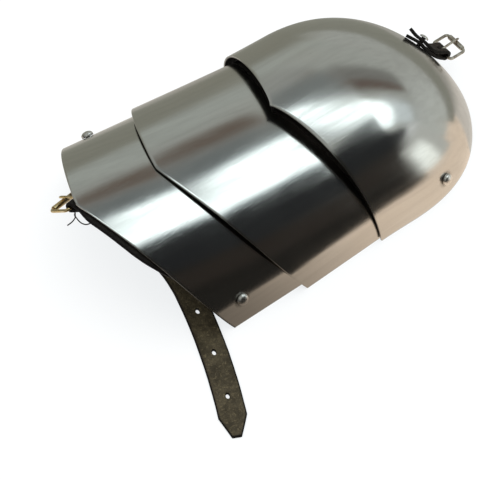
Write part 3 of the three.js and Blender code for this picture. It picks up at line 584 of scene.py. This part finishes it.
def plate_object(name, plate, columns, rows, rivets):
    """Sheet with filed, slightly rounded rims and the gentle waves that the hammer left."""
    share = np.linspace(-1, 1, columns + 1)[:, None] + np.zeros((1, rows + 1))
    along = np.linspace(0, 1, rows + 1)[None, :] + np.zeros((columns + 1, 1))
    if plate is COP:
        along = np.sin(along * QUARTER)
    x = edge_x(plate["edge"], share) + (edge_x(plate["top"], share) - edge_x(plate["edge"], share)) * along
    outer = faces_at(plate, x, share)
    normal = normals_at(plate, x, share)
    at_side = np.abs(share) > 0.9999
    normal[..., 2] = np.where(at_side, 0, normal[..., 2])
    normal /= np.linalg.norm(normal, axis=-1, keepdims=True)
    outer[..., 2] = np.where(at_side, 0, outer[..., 2])
    seed = plate["seed"]
    wave = np.zeros(x.shape)
    for place in np.ndindex(x.shape):
        p = Vector(outer[place])
        slow = noise.noise(Vector((p.x / 62 + seed, p.y / 34, p.z / 34)))
        quick = noise.noise(Vector((p.x / 21, p.y / 15 + seed, p.z / 15)))
        wave[place] = clamp(p.z / WAVE_FADE) * (SLOW_WAVE * slow + QUICK_WAVE * quick)
    outer = outer + normal * wave[..., None]
    inner = outer - normal * PLATE
    verts = [put(p) for face in (outer, inner) for p in face.reshape(-1, 3)]
    count = (columns + 1) * (rows + 1)

    def at(i, j):
        return i * (rows + 1) + j

    faces = []
    for i in range(columns):
        for j in range(rows):
            quad = (at(i, j), at(i + 1, j), at(i + 1, j + 1), at(i, j + 1))
            faces += [quad, tuple(q + count for q in quad[::-1])]
    rim = [at(i, 0) for i in range(columns + 1)] + [at(columns, j) for j in range(1, rows + 1)]
    rim += [at(i, rows) for i in range(columns - 1, -1, -1)] + [at(0, j) for j in range(rows - 1, 0, -1)]
    faces += [(a, b, b + count, a + count) for a, b in zip(rim, rim[1:] + rim[:1])]
    obj = mesh_object(f"{name}_plate", verts, faces, steel)
    bevel = obj.modifiers.new("rim", "BEVEL")
    bevel.width = RIM_ROUND * MM
    bevel.segments = 3
    bevel.limit_method = "ANGLE"
    bevel.angle_limit = math.radians(50)
    apply_modifiers(obj)
    mark_grime_and_shade(obj, plate, [put(rivet_spots[r][0]) for r in rivets])
    stand_for(obj, name, name)


plate_object("lower_lame", LOWER, 150, 56, ("arm_strap", "buckle_strap", "front_lower", "rear_lower"))
plate_object("middle_lame", MIDDLE, 150, 56, ("front_middle", "rear_middle"))
plate_object("cop", COP, 170, 100, ("front_cop", "rear_cop"))


# ---- straps and leathers
EDGE_ROUND = 0.8  # at most, of a leather's edges
EDGE_WANDER, THICKNESS_WANDER, LUMPS = 0.0144, 0.05, 0.07
RIM_BAND, END_BAND = 1.3, 1.2  # how far in the burnish reaches


def resample(stations, step):
    """Stations of (point, normal, width share), in mm, smoothed and evenly spaced."""
    steps = 6
    points = catmull([s[0] for s in stations], steps)
    normals = catmull([s[1] for s in stations], steps)
    shares = [one[2] + (two[2] - one[2]) * k / steps for one, two in zip(stations, stations[1:])
              for k in range(steps)] + [stations[-1][2]]
    lengths = [0.0]
    for a, b in zip(points, points[1:]):
        lengths.append(lengths[-1] + (b - a).length)
    total = lengths[-1]
    count = max(4, round(total / step))
    out, i = [], 0
    for k in range(count + 1):
        s = total * k / count
        while i < len(lengths) - 2 and lengths[i + 1] < s:
            i += 1
        t = clamp((s - lengths[i]) / max(lengths[i + 1] - lengths[i], 1e-9))
        out.append((points[i].lerp(points[i + 1], t), normals[i].lerp(normals[i + 1], t).normalized(),
                    shares[i] + (shares[i + 1] - shares[i]) * t, s))
    return out, total


def strip_section(half, thick, corner, across):
    """Section of a strip: its points across and up, and whether each is on a rounded edge."""
    flat = half - corner
    top = [(-flat + 2 * flat * k / across, thick, False) for k in range(across + 1)]
    arc = [(flat + corner * math.sin(QUARTER * k / 4), thick - corner + corner * math.cos(QUARTER * k / 4), True)
           for k in range(1, 4)]
    top += arc + [(half, 0.0, True)] + [(u, -v, True) for u, v, _ in arc[::-1]]
    return top + [(-u, -v, rounded) for u, v, rounded in top]


def strap(name, stations, width, thickness, material, seed, step, across, outline=None):
    """Leather strip with rounded, burnished edges. outline(s, total) gives the width share at a distance."""
    line, total = resample(stations, step)
    verts, rim, section = [], [], []
    corner = min(EDGE_ROUND, thickness * 0.36)
    for i, (point, normal, share, s) in enumerate(line):
        before, after = line[max(i - 1, 0)][0], line[min(i + 1, len(line) - 1)][0]
        tangent = (after - before).normalized()
        side = tangent.cross(normal).normalized()
        up = side.cross(tangent).normalized()
        scale = outline(s, total) if outline else share
        half = width / 2 * scale * (1 + EDGE_WANDER * noise.noise(Vector((s / 9, seed, 0.3))))
        thick = thickness / 2 * (1 + THICKNESS_WANDER * noise.noise(Vector((s / 7, seed + 5, 0.9))))
        end = max(0.0, 1 - min(s, total - s) / END_BAND)
        section = strip_section(half, thick, corner, across)
        for u, v, rounded in section:
            place = point + side * u + up * v
            if not rounded:
                lump = LUMPS * noise.noise(Vector((place.x / 4 + seed, place.y / 4, place.z / 4)))
                place += up * math.copysign(1, v) * lump
            verts.append(put(place))
            rim.append(max(1.0 if rounded else 1 - (half - abs(u)) / RIM_BAND, end))
    obj = mesh_object(name, verts, ring_faces(len(line), len(section)), material)
    write_attribute(obj, "rim", rim)
    return obj


def punch(obj, tools):
    """Cuts the tools' shapes out of a piece."""
    for verts, faces in tools:
        tool = mesh_object("tool", verts, faces, obj.data.materials[0])
        write_attribute(tool, "rim", 1.0)
        cut = obj.modifiers.new("cut", "BOOLEAN")
        cut.object = tool
        cut.operation = "DIFFERENCE"
        cut.solver = "EXACT"
        apply_modifiers(obj)
        bpy.data.objects.remove(tool)


def rivet_hole(spot, back=3, reach=5):
    """Tool for the hole round a rivet's shank, centred back mm under the plate's face."""
    point, normal = spot
    profile = [(0, -reach), (HOLE, -reach), (HOLE, reach), (0, reach)]
    return lathe(profile, point - normal * back, normal, 28)


# Inner leathers: from plate to plate along both sides
LEATHER_WIDTH = 14
LEATHER_END, LEATHER_END_ROUND, LEATHER_END_SHARE = 8.5, 5, 0.55
LEATHER_STEP = 10.5  # from a pivot to where the lower leather has crossed to its rivet's layer
CLEAR, CROSSING = 2, 20  # past the upper edge of a plate, and on to the next plate's wall
SWIVEL_DEPTH = PLATE + SWIVEL + LEATHER / 2
SEAT_DEPTH = PLATE + LEATHER_SEAT + LEATHER / 2
STACK_DEPTH = SWIVEL_DEPTH + LEATHER + STACK
MIDDLE_CLEAR, LOWER_CLEAR = MIDDLE["top"][1] + CLEAR, LOWER["top"][1] + CLEAR
UPPER_LINE = [(MIDDLE, x, MIDDLE_PIVOT_Z, SWIVEL_DEPTH)
              for x in (MIDDLE_PIVOT_X - LEATHER_END, MIDDLE_PIVOT_X, MIDDLE_CLEAR)]
UPPER_LINE += [(COP, MIDDLE_CLEAR + CROSSING, COP_RIVET_Z, SEAT_DEPTH + LEATHER)]
UPPER_LINE += [(COP, COP_RIVET_X + x, COP_RIVET_Z, SEAT_DEPTH) for x in (-LEATHER_END, 0, LEATHER_END)]
LOWER_LINE = [(LOWER, x, LOWER_PIVOT_Z, SWIVEL_DEPTH)
              for x in (LOWER_PIVOT_X - LEATHER_END, LOWER_PIVOT_X, LOWER_CLEAR)]
LOWER_LINE += [(MIDDLE, MIDDLE_PIVOT_X + x, MIDDLE_PIVOT_Z, STACK_DEPTH) for x in (-LEATHER_STEP, 0, LEATHER_END)]


def rounded_ends(s, total):
    end = min(s, total - s)
    if end > LEATHER_END_ROUND:
        return 1.0
    bow = math.sqrt(max(0.0, 1 - ((LEATHER_END_ROUND - end) / LEATHER_END_ROUND) ** 2))
    return LEATHER_END_SHARE + (1 - LEATHER_END_SHARE) * bow


def wall_station(plate, x, height, depth, side):
    share = side * share_at_height(plate, x, height)
    return *under(plate, x, share, depth), 1.0


for side, word in SIDES:
    for name, body, line, spots, seed in (
        (f"{word}_upper_leather", "cop", UPPER_LINE, (f"{word}_middle", f"{word}_cop"), 2.0 + side),
        (f"{word}_lower_leather", "middle_lame", LOWER_LINE, (f"{word}_lower", f"{word}_middle"), 7.0 + side),
    ):
        obj = strap(f"{name}_strip", [wall_station(*place, side) for place in line], LEATHER_WIDTH, LEATHER,
                    dark_leather, seed, 1.2, 8, rounded_ends)
        punch(obj, [rivet_hole(rivet_spots[s], 4, 6) for s in spots])
        stand_for(obj, body, name)

# Arm strap: down the rear wall, across the table and out past the edge, with a shaped tip and punched holes
STRAP_TOP, WALL_END = 12, 0.88  # mm above the rivet, and the share where it leaves the wall
WALL_BEND, ACROSS_END = 13, -18  # radius of the bend to the table, and y where the strap starts to turn
TURN, TURN_RADIUS, TAIL_BEND = math.radians(13.9), 126, 495
TAIL, TAIL_STRAIGHT = 111, 96  # from the turn to the tip, and to the last station before it
TIP, TIP_WIDTH = 15, 6.4
FIRST_HOLE, HOLE_PITCH, HOLE_SQUEEZE = 30, 33.5, 0.36
DOWN = Vector((0, 0, -1))


def bend_point(angle):
    return Vector((-TURN_RADIUS * (1 - math.cos(angle)), ACROSS_END - TURN_RADIUS * math.sin(angle), STRAP / 2))


def tail_point(s):
    angle, turned = TURN + s / TAIL_BEND, bend_point(TURN)
    return Vector((turned.x - TAIL_BEND * (math.cos(TURN) - math.cos(angle)),
                   turned.y - TAIL_BEND * (math.sin(angle) - math.sin(TURN)), turned.z))


def arm_strap_stations():
    top_share = STRAP_RIVET_SHARE - STRAP_TOP / (QUARTER * float(lower_section(0)[1]))
    stations = []
    for i in range(6):
        share = top_share + (WALL_END - top_share) * i / 5
        stations.append((*under(LOWER, 0, share, STRAP_DEPTH), 1.0))
    point, normal = stations[-1][:2]
    lean = math.atan2(normal.z, normal.y)
    centre = Vector((0, point.y - WALL_BEND * math.cos(lean), WALL_BEND + STRAP / 2))
    for i in range(1, 6):
        angle = lean - (lean + QUARTER) * i / 5
        normal = Vector((0, math.cos(angle), math.sin(angle)))
        stations.append((centre + normal * WALL_BEND, normal, 1.0))
    flat = [Vector((0, centre.y + (ACROSS_END - centre.y) * i / 5, STRAP / 2)) for i in range(1, 6)]
    flat += [bend_point(TURN * i / 4) for i in range(1, 5)]
    flat += [tail_point(TAIL_STRAIGHT * i / 6) for i in range(1, 7)] + [tail_point(TAIL)]
    return stations + [(place, DOWN, 1.0) for place in flat]


def strap_tip(s, total):
    share = TIP_WIDTH / STRAP_WIDTH
    return min(1.0, share + (1 - share) * ((total - s) / TIP))


arm_strap = strap("arm_strap_leather", arm_strap_stations(), STRAP_WIDTH, STRAP, strap_leather, 4.0, 1.0, 20,
                  strap_tip)
tools = [rivet_hole(rivet_spots["arm_strap"])]
worn_hole = [(0, -5), (2.0, -5), (2.0, 0.3), (2.3, 0.9), (2.7, 1.3), (2.7, 5), (0, 5)]
for i in range(3):
    s = TAIL - FIRST_HOLE - HOLE_PITCH * i
    centre, angle = tail_point(s), TURN + s / TAIL_BEND
    across = Vector((math.cos(angle), -math.sin(angle), 0))
    verts, faces = lathe(worn_hole, centre, Vector((0, 0, 1)), 28)
    tools.append(([v - across * (v - put(centre)).dot(across) * HOLE_SQUEEZE for v in verts], faces))
punch(arm_strap, tools)
stand_for(arm_strap, "lower_lame", "arm_strap")

# Buckle strap: along the inside of the edge to the crest, folded round the bar and back along the edge
WIRE, PRONG, ROLLER = 1.1, 0.9, 1.9  # radii of the buckles' parts
BAR_PLAY = 0.5  # between a bar and the leather round it
CREST_SHARE, LEAVE_SHARE = 0.045, 0.3  # where the fold begins, and where the strap leaves the edge for its rivet
CREST_TURN = QUARTER * LOWER_HIGH  # mm from crest to side
EDGE_SHOW, EDGE_SHOW_MORE, CREST_TUCK = 2, 2, 1  # mm past the edge, past the crest's corner, and back at the corner
RETURN_START, RETURN_RUN, RETURN_GAP, RETURN_SHARE = 7, 20, 0.4, 0.7
ARM_BUCKLE_HANG = -38  # degrees from the fold


def buckle_strap_x(share):
    crest, side, bow = LOWER["edge"]
    past = abs(min(share, 0))  # how far the strap has come down the front
    edge = crest + math.copysign(1, -share) * (side - crest) * abs(share) ** bow
    slope = (side - crest) * bow * abs(share) ** (bow - 1) / CREST_TURN
    tuck = CREST_TUCK * max(0, 1 - abs(share) / 0.3)
    hugging = edge + STRAP_WIDTH / 2 * math.hypot(1, slope) - EDGE_SHOW + tuck
    leave = smoothstep((past - LEAVE_SHARE) / (BUCKLE_RIVET_SHARE - LEAVE_SHARE))
    hugging -= EDGE_SHOW_MORE * smoothstep((past - 0.015) / 0.045) * (1 - leave)
    inset = BUCKLE_RIVET_X - (crest + (side - crest) * BUCKLE_RIVET_SHARE ** bow) - (hugging - edge)
    return hugging + inset * leave


def buckle_strap_point(share, extra=0.0):
    return under(LOWER, buckle_strap_x(share), share, STRAP_DEPTH + extra)


def fold_round(centre, normal, outward, radius):
    """Directions and points round the far side of a bar, from one layer to the other."""
    turns = [math.pi * i / 8 for i in range(9)]
    ways = [normal * math.cos(angle) + outward * math.sin(angle) for angle in turns]
    return [(centre + way * radius, way, 1.0) for way in ways]


def right_handed(centre, out, up):
    return {"centre": centre, "out": out, "up": up, "along": up.cross(out).normalized()}


def swung(bar, degrees):
    a = math.radians(degrees)
    return right_handed(bar["centre"], bar["out"] * math.cos(a) + bar["up"] * math.sin(a),
                        bar["up"] * math.cos(a) - bar["out"] * math.sin(a))


def box_tool(bar, reach, width, shift):
    """Tool for the prong's slot: a square prism of half size reach, as wide as the slot."""
    verts = [put(local(bar, shift + i * reach, j * width / 2, k * reach))
             for i in (-1, 1) for j in (-1, 1) for k in (-1, 1)]
    faces = [(0, 1, 3, 2), (4, 6, 7, 5), (0, 4, 5, 1), (2, 3, 7, 6), (0, 2, 6, 4), (1, 5, 7, 3)]
    return verts, faces


def local(bar, x, y, z):
    return bar["centre"] + bar["out"] * x + bar["along"] * y + bar["up"] * z


start = -BUCKLE_RIVET_SHARE - 10 / (QUARTER * float(lower_section(BUCKLE_RIVET_X)[1]))
stations = [(*buckle_strap_point(start + (CREST_SHARE - start) * i / 16), 1.0) for i in range(17)]
end, end_normal = stations[-1][:2]
tangent = (end - stations[-2][0]).normalized()
normal = (end_normal - tangent * end_normal.dot(tangent)).normalized()
fold_radius = WIRE + BAR_PLAY + STRAP / 2
bar_centre = end - normal * fold_radius
stations += fold_round(bar_centre, normal, tangent, fold_radius)[1:]
closed = STRAP + RETURN_GAP
stations.append((end - tangent * RETURN_START - normal * closed, -normal, RETURN_SHARE))
for i in range(1, 4):
    share = CREST_SHARE - (RETURN_START + RETURN_RUN * i / 3) / CREST_TURN
    inner_point, inner_normal = buckle_strap_point(share, closed)
    stations.append((inner_point, -inner_normal, RETURN_SHARE))
fold_bar = right_handed(bar_centre, tangent, normal)
arm_bar = swung(fold_bar, ARM_BUCKLE_HANG)
SLOT, SLOT_SHIFT = 3.0, 0.3
buckle_strap = strap("buckle_strap_leather", stations, STRAP_WIDTH, STRAP, dark_leather, 11.0, 0.9, 14)
punch(buckle_strap, [rivet_hole(rivet_spots["buckle_strap"]), box_tool(fold_bar, 6.6, SLOT, SLOT_SHIFT)])
stand_for(buckle_strap, "lower_lame", "buckle_strap")

# Buckles: a wire frame, a roller on its end bar, and a prong curled round the bar in the fold
FRAME_CORNER = 2.2
PRONG_CURL = math.radians(240)


def buckle_part(obj, word, part):
    write_attribute(obj, "grime", 0.0)
    stand_for(obj, f"{word}_{part}", f"{word}_buckle_{part}")


def buckle(word, bar, half, length, material):
    """Buckle on a bar, half its width to each side, with the end bar at length, in mm."""
    points = []
    for x, sign, start_angle in ((0, -1, 180), (length, -1, 270), (length, 1, 0), (0, 1, 90)):
        cx = x - FRAME_CORNER if x else FRAME_CORNER
        cy = sign * (half - FRAME_CORNER)
        for i in range(9):
            a = math.radians(start_angle + 90 * i / 8)
            points.append(put(local(bar, cx + FRAME_CORNER * math.cos(a), cy + FRAME_CORNER * math.sin(a), 0)))
    wire = tube(points, [WIRE * MM] * len(points), 18, bar["up"], closed=True)
    buckle_part(mesh_object(f"{word}_buckle_wire", *wire, material), word, "frame")

    inner = WIRE + 0.35
    reach = half - FRAME_CORNER - SEAT
    rim = [(inner, reach - 0.1), (inner + 0.1, reach), (ROLLER - 0.2, reach), (ROLLER, reach - 0.25)]
    profile = [(r, -h) for r, h in rim] + [(ROLLER * 1.01, 0.0)] + rim[::-1] + [(inner, 0.1 - reach)]
    dense = []
    for (r0, h0), (r1, h1) in zip(profile, profile[1:]):
        steps = 8 if abs(h1 - h0) > 3 else 1
        dense += [(r0 + (r1 - r0) * k / steps, h0 + (h1 - h0) * k / steps) for k in range(steps)]
    dense.append(profile[-1])
    roll = lathe(dense, local(bar, length, 0, 0), bar["along"], 36)
    roller = mesh_object(f"{word}_buckle_roll", *roll, material)
    clean_mesh(roller.data, 1e-7)
    buckle_part(roller, word, "roller")

    radius = WIRE + SEAT + PRONG
    over = ROLLER + SEAT + PRONG
    curl = [QUARTER + PRONG_CURL * (1 - i / 18) for i in range(19)]
    points = [local(bar, radius * math.cos(a), 0, radius * math.sin(a)) for a in curl]
    tail = [local(bar, length / 2, 0, (radius + over) / 2 + SEAT), local(bar, length, 0, over + SEAT / 2),
            local(bar, length + 2.4, 0, over - SEAT / 2)]
    points = [put(p) for p in points[:-1] + catmull([points[-1], *tail], 8)]
    taper = len(points) - 8  # the prong narrows to its tip over its last 8 points
    radii = [PRONG * MM * (1 - 0.5 * (max(0, i - taper) / 7) ** 2) for i in range(len(points))]
    tongue = tube(points, radii, 14, bar["along"])
    buckle_part(mesh_object(f"{word}_buckle_tongue", *tongue, material), word, "prong")


buckle("arm", arm_bar, 12.3, 15.5, brass)

# Neck tab: two layers from the bar back along the neck end of the cop
TAB_WIDTH, TAB, TAB_STAND, LAYER_GAP = 12, 2.1, 3.4, 0.4
TAB_FULL = 2.4  # thickness with the swell of the worn leather
TAB_BAR, TAB_DIP = Vector((256.6, 6.8, 16.6)), math.radians(44)
TAB_PLACES = ((0.876, 0.2), (0.858, 0.25), (0.835, 0.3))  # on the cop: along the dome, and share
LEAD, HANDLE, BEND_STEPS = 1.2, 6, 7
UPPER_SAG, INNER_SAG, UPPER_LIFT, INNER_DROP = 1.8, 2.0, 2.2, 0.8
tab_bar = right_handed(TAB_BAR, Vector((math.cos(TAB_DIP), 0, -math.sin(TAB_DIP))),
                       Vector((math.sin(TAB_DIP), 0, math.cos(TAB_DIP))))
tab_route = [under(COP, COP_FULL + DOME * along, share, -TAB_STAND) for along, share in TAB_PLACES]
tab_point, tab_normal = tab_route[0]
half_gap = (TAB + LAYER_GAP) / 2
fold_radius = WIRE + BAR_PLAY + TAB / 2
lead = tab_bar["centre"] - tab_bar["out"] * LEAD
along_route = (tab_route[1][0] - tab_point).normalized()
controls = [lead, lead - tab_bar["out"] * HANDLE, tab_point - along_route * HANDLE, tab_point]
spine = []
for i in range(BEND_STEPS):
    t = i / BEND_STEPS
    weights = ((1 - t) ** 3, 3 * t * (1 - t) ** 2, 3 * t * t * (1 - t), t ** 3)
    p = sum((c * w for c, w in zip(controls, weights)), Vector())
    spine.append((p, tab_bar["up"].lerp(tab_normal, t).normalized()))
spine += tab_route
upper_layer, inner_layer = [], []
for i, (p, n) in enumerate(spine):
    lift = max(0, i / (len(spine) - 1) - 0.75) / 0.25
    bow = math.sin(math.pi * min(1.0, i / BEND_STEPS))
    opening = half_gap + (fold_radius - half_gap) * max(0, 1 - i / 4)
    upper_layer.append((p + n * (opening - UPPER_SAG * bow ** 2 + UPPER_LIFT * lift ** 4), n, 1.0))
    inner_layer.append((p - n * (opening + INNER_SAG * bow + INNER_DROP * lift), -n, 1.0))
fold = fold_round(tab_bar["centre"], tab_bar["up"], tab_bar["out"], fold_radius)
RIVET_CLEAR = 0.45
rivet("neck_tab", "cop", tab_point + tab_normal * (half_gap + TAB / 2 + RIVET_CLEAR), tab_normal,
      [RIVET_CLEAR, 2 * TAB + LAYER_GAP, TAB_STAND - (TAB + LAYER_GAP / 2), PLATE], LOW)
neck_bar = swung(tab_bar, 46)
neck_tab = strap("neck_tab_leather", upper_layer[::-1] + fold + inner_layer, TAB_WIDTH, TAB_FULL, tab_leather,
                 23.0, 0.7, 12)
punch(neck_tab, [rivet_hole(rivet_spots["neck_tab"]), box_tool(neck_bar, 7.1, SLOT, SLOT_SHIFT)])
stand_for(neck_tab, "cop", "neck_tab")
buckle("neck", neck_bar, 9.6, 13.2, nickel)


# ---- floor, surroundings and lights
def light_path(m):
    """1 for what the camera sees, directly or in metal and glass, and 0 for the light on the object."""
    path = m.new("ShaderNodeLightPath")
    seen = m.math("MAXIMUM", path.outputs["Is Camera Ray"], path.outputs["Is Glossy Ray"])
    return m.math("MAXIMUM", seen, path.outputs["Is Transmission Ray"])


FLOOR_REACH = 20.0
m = new_surface("pale_floor", 0.0)
m.surface(Roughness=0.8, Base_Color=(0.28, 0.27, 0.26), Specular_IOR_Level=0.1,
          Emission_Color=(0.95, 0.98, 1.0), Emission_Strength=m.times(light_path(m), 0.77))
corners = [(x * FLOOR_REACH, y * FLOOR_REACH, 0) for x, y in ((-1, -1), (1, -1), (1, 1), (-1, 1))]
floor = mesh_object("floor", corners, [(0, 1, 2, 3)], m.owner)
floor.location.z = -0.00005


def reflected(name, verts, faces, build):
    """Glowing piece of the surroundings that shows only in reflections. build(nodes) gives its colour."""
    m = Nodes(bpy.data.materials.new(name))
    m.tree.nodes.clear()
    emission = m.new("ShaderNodeEmission", {"Color": build(m)})
    m.new("ShaderNodeOutputMaterial", {"Surface": emission.outputs[0]})
    obj = mesh_object(name, verts, faces, m.owner)
    for ray in ("camera", "diffuse", "shadow", "transmission", "volume_scatter"):
        setattr(obj, f"visible_{ray}", False)
    return obj


# Patches of light: centre, half sizes, turn in degrees, softness, colour
WALLS = [  # azimuth and elevation in degrees
    ((90, -2), (62, 30), 0, 0.5, (0.29, 0.295, 0.25)),
    ((32, 12), (26, 24), 0, 0.7, (0.48, 0.505, 0.475)),
    ((60, 21), (14, 10), 0, 0.8, (0.47, 0.51, 0.48)),
    ((42, 57), (30, 9), 0, 0.8, (0.24, 0.265, 0.265)),
    ((48, 41), (9, 6), 0, 0.9, (0.17, 0.135, 0.11)),
    ((-24, 27), (16, 10), 0, 0.8, (0.85, 0.90, 0.90)),
    ((-18, 2), (28, 17), 0, 0.8, (0.62, 0.66, 0.63)),
    ((-92, 8), (41, 50), 0, 0.15, (0.018, 0.017, 0.015)),
    ((-46, 40), (19, 15.5), 0, 0.25, (0.020, 0.022, 0.024)),
    ((-62, 17), (14, 9), 0, 0.9, (0.032, 0.027, 0.023)),
    ((178, 4), (52, 22), 0, 0.4, (0.05, 0.048, 0.045)),
    ((-178, 4), (52, 22), 0, 0.4, (0.05, 0.048, 0.045)),
]
WINDOW_HALO, WINDOW_LIGHT = (0.24, 0.32, 0.36), (2.15, 2.45, 2.5)
WINDOW = [  # overhead, on a level plane one unit up
    ((0.44, 0.40), (0.20, 0.24), 0, 0.6, (0.23, 0.255, 0.255)),
    ((0.66, 0.46), (0.14, 0.06), 60, 0.8, (0.18, 0.205, 0.21)),
    ((0.375, -0.03), (0.46, 0.100), -66.5, 0.4, WINDOW_HALO),
    ((0.71, -0.06), (0.17, 0.37), 0, 0.4, (0.22, 0.29, 0.33)),
    ((0.375, -0.03), (0.44, 0.082), -66.5, 0.3, WINDOW_LIGHT),
    ((0.71, -0.06), (0.155, 0.32), 0, 0.35, WINDOW_LIGHT),
]
NEAR = [  # on the card above the domed end, in metres
    ((0.25, 0.060), (0.25, 0.05), 0, 0.9, (0.25, 0.255, 0.24)),
    ((0.265, 0.026), (0.155, 0.019), -4, 1.0, (0.15, 0.11, 0.09)),
    ((0.285, -0.088), (0.10, 0.050), -14, 0.9, (0.80, 0.90, 0.93)),
    ((0.150, -0.070), (0.076, 0.048), -14, 0.4, WINDOW_LIGHT),
]
REAR = [  # on the paper behind, in metres
    ((-0.05, 0.185), (0.25, 0.035), 0, 1.2, (0.45, 0.44, 0.39)),
    ((0.17, 0.105), (0.22, 0.055), -32, 1.0, (0.42, 0.41, 0.37)),
]
SIDE = [  # on the card beside the domed end, in metres
    ((-0.13, 0.0), (0.085, 0.30), 0, 0.35, (0.06, 0.056, 0.05)),
    ((0.0, -0.008), (0.028, 0.045), 0, 0.9, (1.4, 1.5, 1.45)),
]


def patched(m, u, v, colour, patches, where=None):
    """Colour with the patches laid over it, one after the other."""
    for (cu, cv), (half_u, half_v), turn, soft, shade in patches:
        c, n = math.cos(math.radians(turn)), math.sin(math.radians(turn))
        du, dv = m.math("SUBTRACT", u, cu), m.math("SUBTRACT", v, cv)
        along = m.math("ADD", m.times(du, c / half_u), m.times(dv, n / half_u))
        across = m.math("ADD", m.times(du, -n / half_v), m.times(dv, c / half_v))
        along, across = m.times(along, along), m.times(across, across)
        length = m.math("ADD", m.times(along, along), m.times(across, across))
        weight = m.span(m.math("POWER", length, 0.25), 1 - soft / 2, 1 + soft / 2, 1.0, 0.0)
        if where is not None:
            weight = m.times(weight, where)
        colour = m.mix(weight, colour, shade)
    return colour


def studio(m):
    """Colour of the surroundings by direction: patches all round, and those overhead."""
    unit = m.new("ShaderNodeVectorMath", {0: m.coords}, operation="NORMALIZE")
    x, y, z = m.axes(unit.outputs[0])
    azimuth = m.times(m.math("ARCTAN2", y, x), 180 / math.pi)
    elevation = m.times(m.math("ARCSINE", z), 180 / math.pi)
    colour = patched(m, azimuth, elevation, (0.40, 0.42, 0.40), WALLS)
    height = m.math("MAXIMUM", z, 0.05)
    return patched(m, m.math("DIVIDE", x, height), m.math("DIVIDE", y, height), colour, WINDOW, m.span(z, 0.14, 0.16))


def plain(colour):
    return lambda m: colour


def sloping(low, high, near, far):
    """Colour that goes from low to high between two places along X, in metres."""
    return lambda m: m.mix(m.span(m.axes(m.coords)[0], near, far), low, high)


def painted(colour, patches):
    """Colour of a card, with patches placed along its own X and Y."""
    def build(m):
        return patched(m, *m.axes(m.coords)[:2], colour, patches)
    return build


DOME_RADIUS, DOME_FOOT, DOME_COLUMNS, DOME_ROWS = 1.15, -0.6, 48, 24
dome_verts = []
for i in range(DOME_ROWS + 1):
    t = DOME_FOOT + (QUARTER - 0.01 - DOME_FOOT) * i / DOME_ROWS
    for j in range(DOME_COLUMNS):
        p = 2 * math.pi * j / DOME_COLUMNS
        dome_verts.append(DOME_RADIUS * Vector((math.cos(t) * math.cos(p), math.cos(t) * math.sin(p), math.sin(t))))
dome_faces = ring_faces(DOME_ROWS + 1, DOME_COLUMNS)
del dome_faces[-2]  # open below
dome = reflected("studio_walls", dome_verts, dome_faces, studio)
dome.location = (0, 0, 0.06)

CARDS = [
    ("paper_rear", 0.0008, [(-0.6, -0.07), (0.28, -0.06), (1.0, -0.24), (1.0, 0.7), (-0.6, 0.7)],
     painted((0.76, 0.72, 0.66), REAR)),
    # the front paper's dark end, towards -X, is a painted shadow on the floor as the steel mirrors it
    ("paper_front", 0.0009, [(-0.55, -0.055), (0.30, -0.03), (1.0, -0.18), (1.0, -0.60), (-0.55, -0.40)],
     sloping((0.22, 0.185, 0.15), (1.0, 0.84, 0.68), -0.11, 0.07)),
    ("dark_cloth_front", 0.0012,
     [(-0.6, -0.085), (-0.1, -0.092), (-0.02, -0.104), (0.06, -0.131), (0.15, -0.150), (0.91, -1.32), (-0.8, -1.4)],
     plain((0.020, 0.019, 0.017))),
    ("grey_cloth_rear", 0.0012,
     [(-0.6, 0.192), (-0.05, 0.192), (0.0, 0.20), (0.03, 0.19), (0.06, 0.165), (0.12, 0.140), (0.20, 0.110),
      (0.25, 0.05), (0.285, 0.0), (0.31, -0.06), (1.0, -0.20), (1.0, 1.0), (-0.8, 1.4)],
     plain((0.29, 0.295, 0.25))),
    ("near_card", 0.2,
     [(0.110, 0.30), (0.097, 0.10), (0.096, 0.0), (0.112, -0.04), (0.138, -0.13), (0.20, -0.16), (0.45, -0.16),
      (0.45, 0.30)], painted((0.47, 0.50, 0.47), NEAR)),
    ("side_card", 0, [(-0.075, -0.05), (0.07, -0.05), (0.07, 0.06), (-0.075, 0.06)],
     painted((0.62, 0.65, 0.62), SIDE)),
]
for name, height, outline, build in CARDS:
    card = reflected(name, [(x, y, height) for x, y in outline], [tuple(range(len(outline)))], build)
# The last one stands upright, facing the domed end
card.matrix_world = Matrix(((0.69577, -0.06672, -0.71516, 0.183), (0.71827, 0.06463, 0.69276, -0.151),
                            (0.0, 0.99568, -0.09289, 0.0572), (0, 0, 0, 1)))


def area_light(name, place, size, power, colour=(1, 1, 1)):
    """Rectangular lamp aimed at the object, not seen itself and not mirrored."""
    data = bpy.data.lights.new(name, "AREA")
    data.shape = "RECTANGLE"
    data.size, data.size_y = size
    data.energy = power
    data.color = colour
    obj = link(bpy.data.objects.new(name, data))
    obj.location = place
    obj.rotation_mode = "QUATERNION"
    obj.rotation_quaternion = (Vector((0, 0, 0.03)) - Vector(place)).to_track_quat("-Z", "Y")
    obj.visible_glossy = False
    obj.visible_camera = False


area_light("window", (0.35, -0.2, 2.3), (2.4, 2.0), 20, (0.97, 0.99, 1.0))
area_light("fill", (-1.8, -1.6, 1.6), (2.0, 2.0), 10, (1.0, 0.98, 0.95))
area_light("back", (-0.4, 2.0, 1.5), (2.0, 1.6), 10)

world = bpy.data.worlds.new("studio")
bpy.context.scene.world = world
m = Nodes(world)
background = m.tree.nodes["Background"]
m.feed(background.inputs["Color"], (1, 1, 1))
m.feed(background.inputs["Strength"], m.math("ADD", m.times(light_path(m), 0.25), 0.75))
bpy.context.scene.view_settings.view_transform = "Standard"
